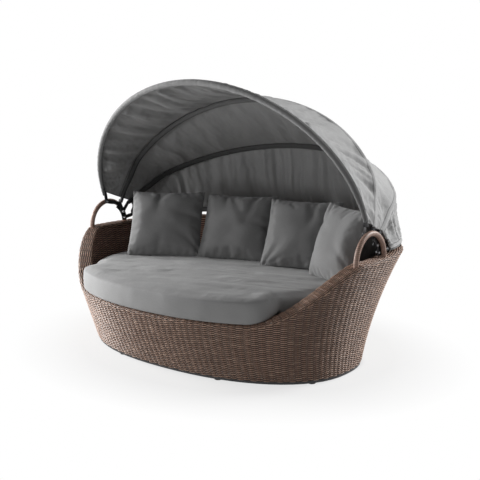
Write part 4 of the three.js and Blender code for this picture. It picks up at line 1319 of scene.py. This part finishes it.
# %% [markdown]
# ## Floor, light and camera
# A white studio: a pale floor that shows the soft shadow, one large lamp in front on the left,
# a weaker one behind on the right, a small one in front, and an even pale surround. The floor glows
# white for the camera, less within an oval round the daybed, which paints a grey halo there besides
# the real soft shadow, and not at all under it, so that no white floor shows through gaps of the basket.

# %% Floor
FLOOR_DROP = 0.0005
SHADOW_OVAL, FOOT_OVAL = (0.85, 1.0, 0.0), (0.61, 1.0, 0.0)
bpy.ops.mesh.primitive_plane_add(size=30, location=(0, 0, -FLOOR_DROP))
floor = fresh("studio_floor")
ground = Finish("floor_white", roughness=0.9)
ground.shade({"Base Color": grey(0.62), "Specular IOR Level": 0.2})


def from_middle(scale):
    """The way from the middle of the floor, counted in an oval."""
    node = ground.add("VectorMath", operation="LENGTH")
    return ground.feed(node, {0: ground.scaled(ground.coords["Object"], scale)}).outputs["Value"]


# Partly painted shadow: within the shadow oval the glow drops, which leaves a grey halo round the daybed.
near_share = ground.maths("MULTIPLY", from_middle(SHADOW_OVAL), 0.4)
fade = ground.ramp(near_share, [(0.32, 0.72), (0.47, WHITE)])
open_floor = ground.ramp(from_middle(FOOT_OVAL), [(0.44, 0.0), (0.50, WHITE)])
seen = ground.maths("MULTIPLY", ground.seen_directly(), fade)
seen = ground.maths("MULTIPLY", seen, open_floor)
glow = ground.feed(ground.add("Emission"), {"Color": grey(WHITE), "Strength": 1.0}).outputs["Emission"]
blend = ground.feed(ground.add("MixShader"), {"Fac": seen, 1: ground.shader.outputs["BSDF"], 2: glow})
output = next(n for n in ground.nodes if n.type == "OUTPUT_MATERIAL")
ground.feed(output, {"Surface": blend.outputs["Shader"]})
floor.data.materials.append(ground.owner)

# %% World
LIT, SEEN = 0.10, 1.0
bpy.context.scene.world = bpy.data.worlds.new("studio")
sky = Tree(bpy.context.scene.world)
level = sky.feed(sky.add("MapRange"), {"To Min": LIT, "To Max": SEEN, "Value": sky.seen_directly()})
sky.feed(sky.nodes["Background"], {"Color": grey(WHITE), "Strength": level.outputs["Result"]})

# %% Lamps


def softbox(name, place, size, power, aim=(0, 0, 0.5)):
    data = bpy.data.lights.new(name, "AREA")
    data.shape = "SQUARE"
    data.size = size
    data.energy = power
    lamp = bpy.data.objects.new(name, data)
    bpy.context.scene.collection.objects.link(lamp)
    lamp.location = place
    lamp.rotation_euler = (Vector(aim) - Vector(place)).to_track_quat("-Z", "Y").to_euler()


softbox("left", (-4.4, -1.4, 1.6), 2.0, 385)
softbox("back_right", (2.6, 3.2, 2.6), 2.0, 250)
softbox("front", (-1.3, -4.5, 0.95), 1.2, 50, aim=(0, 0.4, 0.95))

# %% Camera at the photograph's angle
IMAGE = 480
CENTRE_X, CENTRE_Y = 222.667, 246.075
AZIMUTH, ELEVATION, DISTANCE = 38.792, 10.918, 5.04
az, el = math.radians(AZIMUTH), math.radians(ELEVATION)
target = Vector((0, -PLAN_SHIFT, 0.58))
back = Vector((math.sin(az) * math.cos(el), -math.cos(az) * math.cos(el), math.sin(el)))
camera_data = bpy.data.cameras.new("camera")
camera_data.sensor_width = 36
camera_data.lens = 67.67
camera_data.shift_x = (IMAGE / 2 - CENTRE_X) / IMAGE
camera_data.shift_y = (CENTRE_Y - IMAGE / 2) / IMAGE
camera = bpy.data.objects.new("camera", camera_data)
bpy.context.scene.collection.objects.link(camera)
camera.location = target + back * DISTANCE
camera.rotation_euler = (-back).to_track_quat("-Z", "Y").to_euler()
bpy.context.scene.camera = camera
bpy.context.scene.view_settings.view_transform = "Standard"
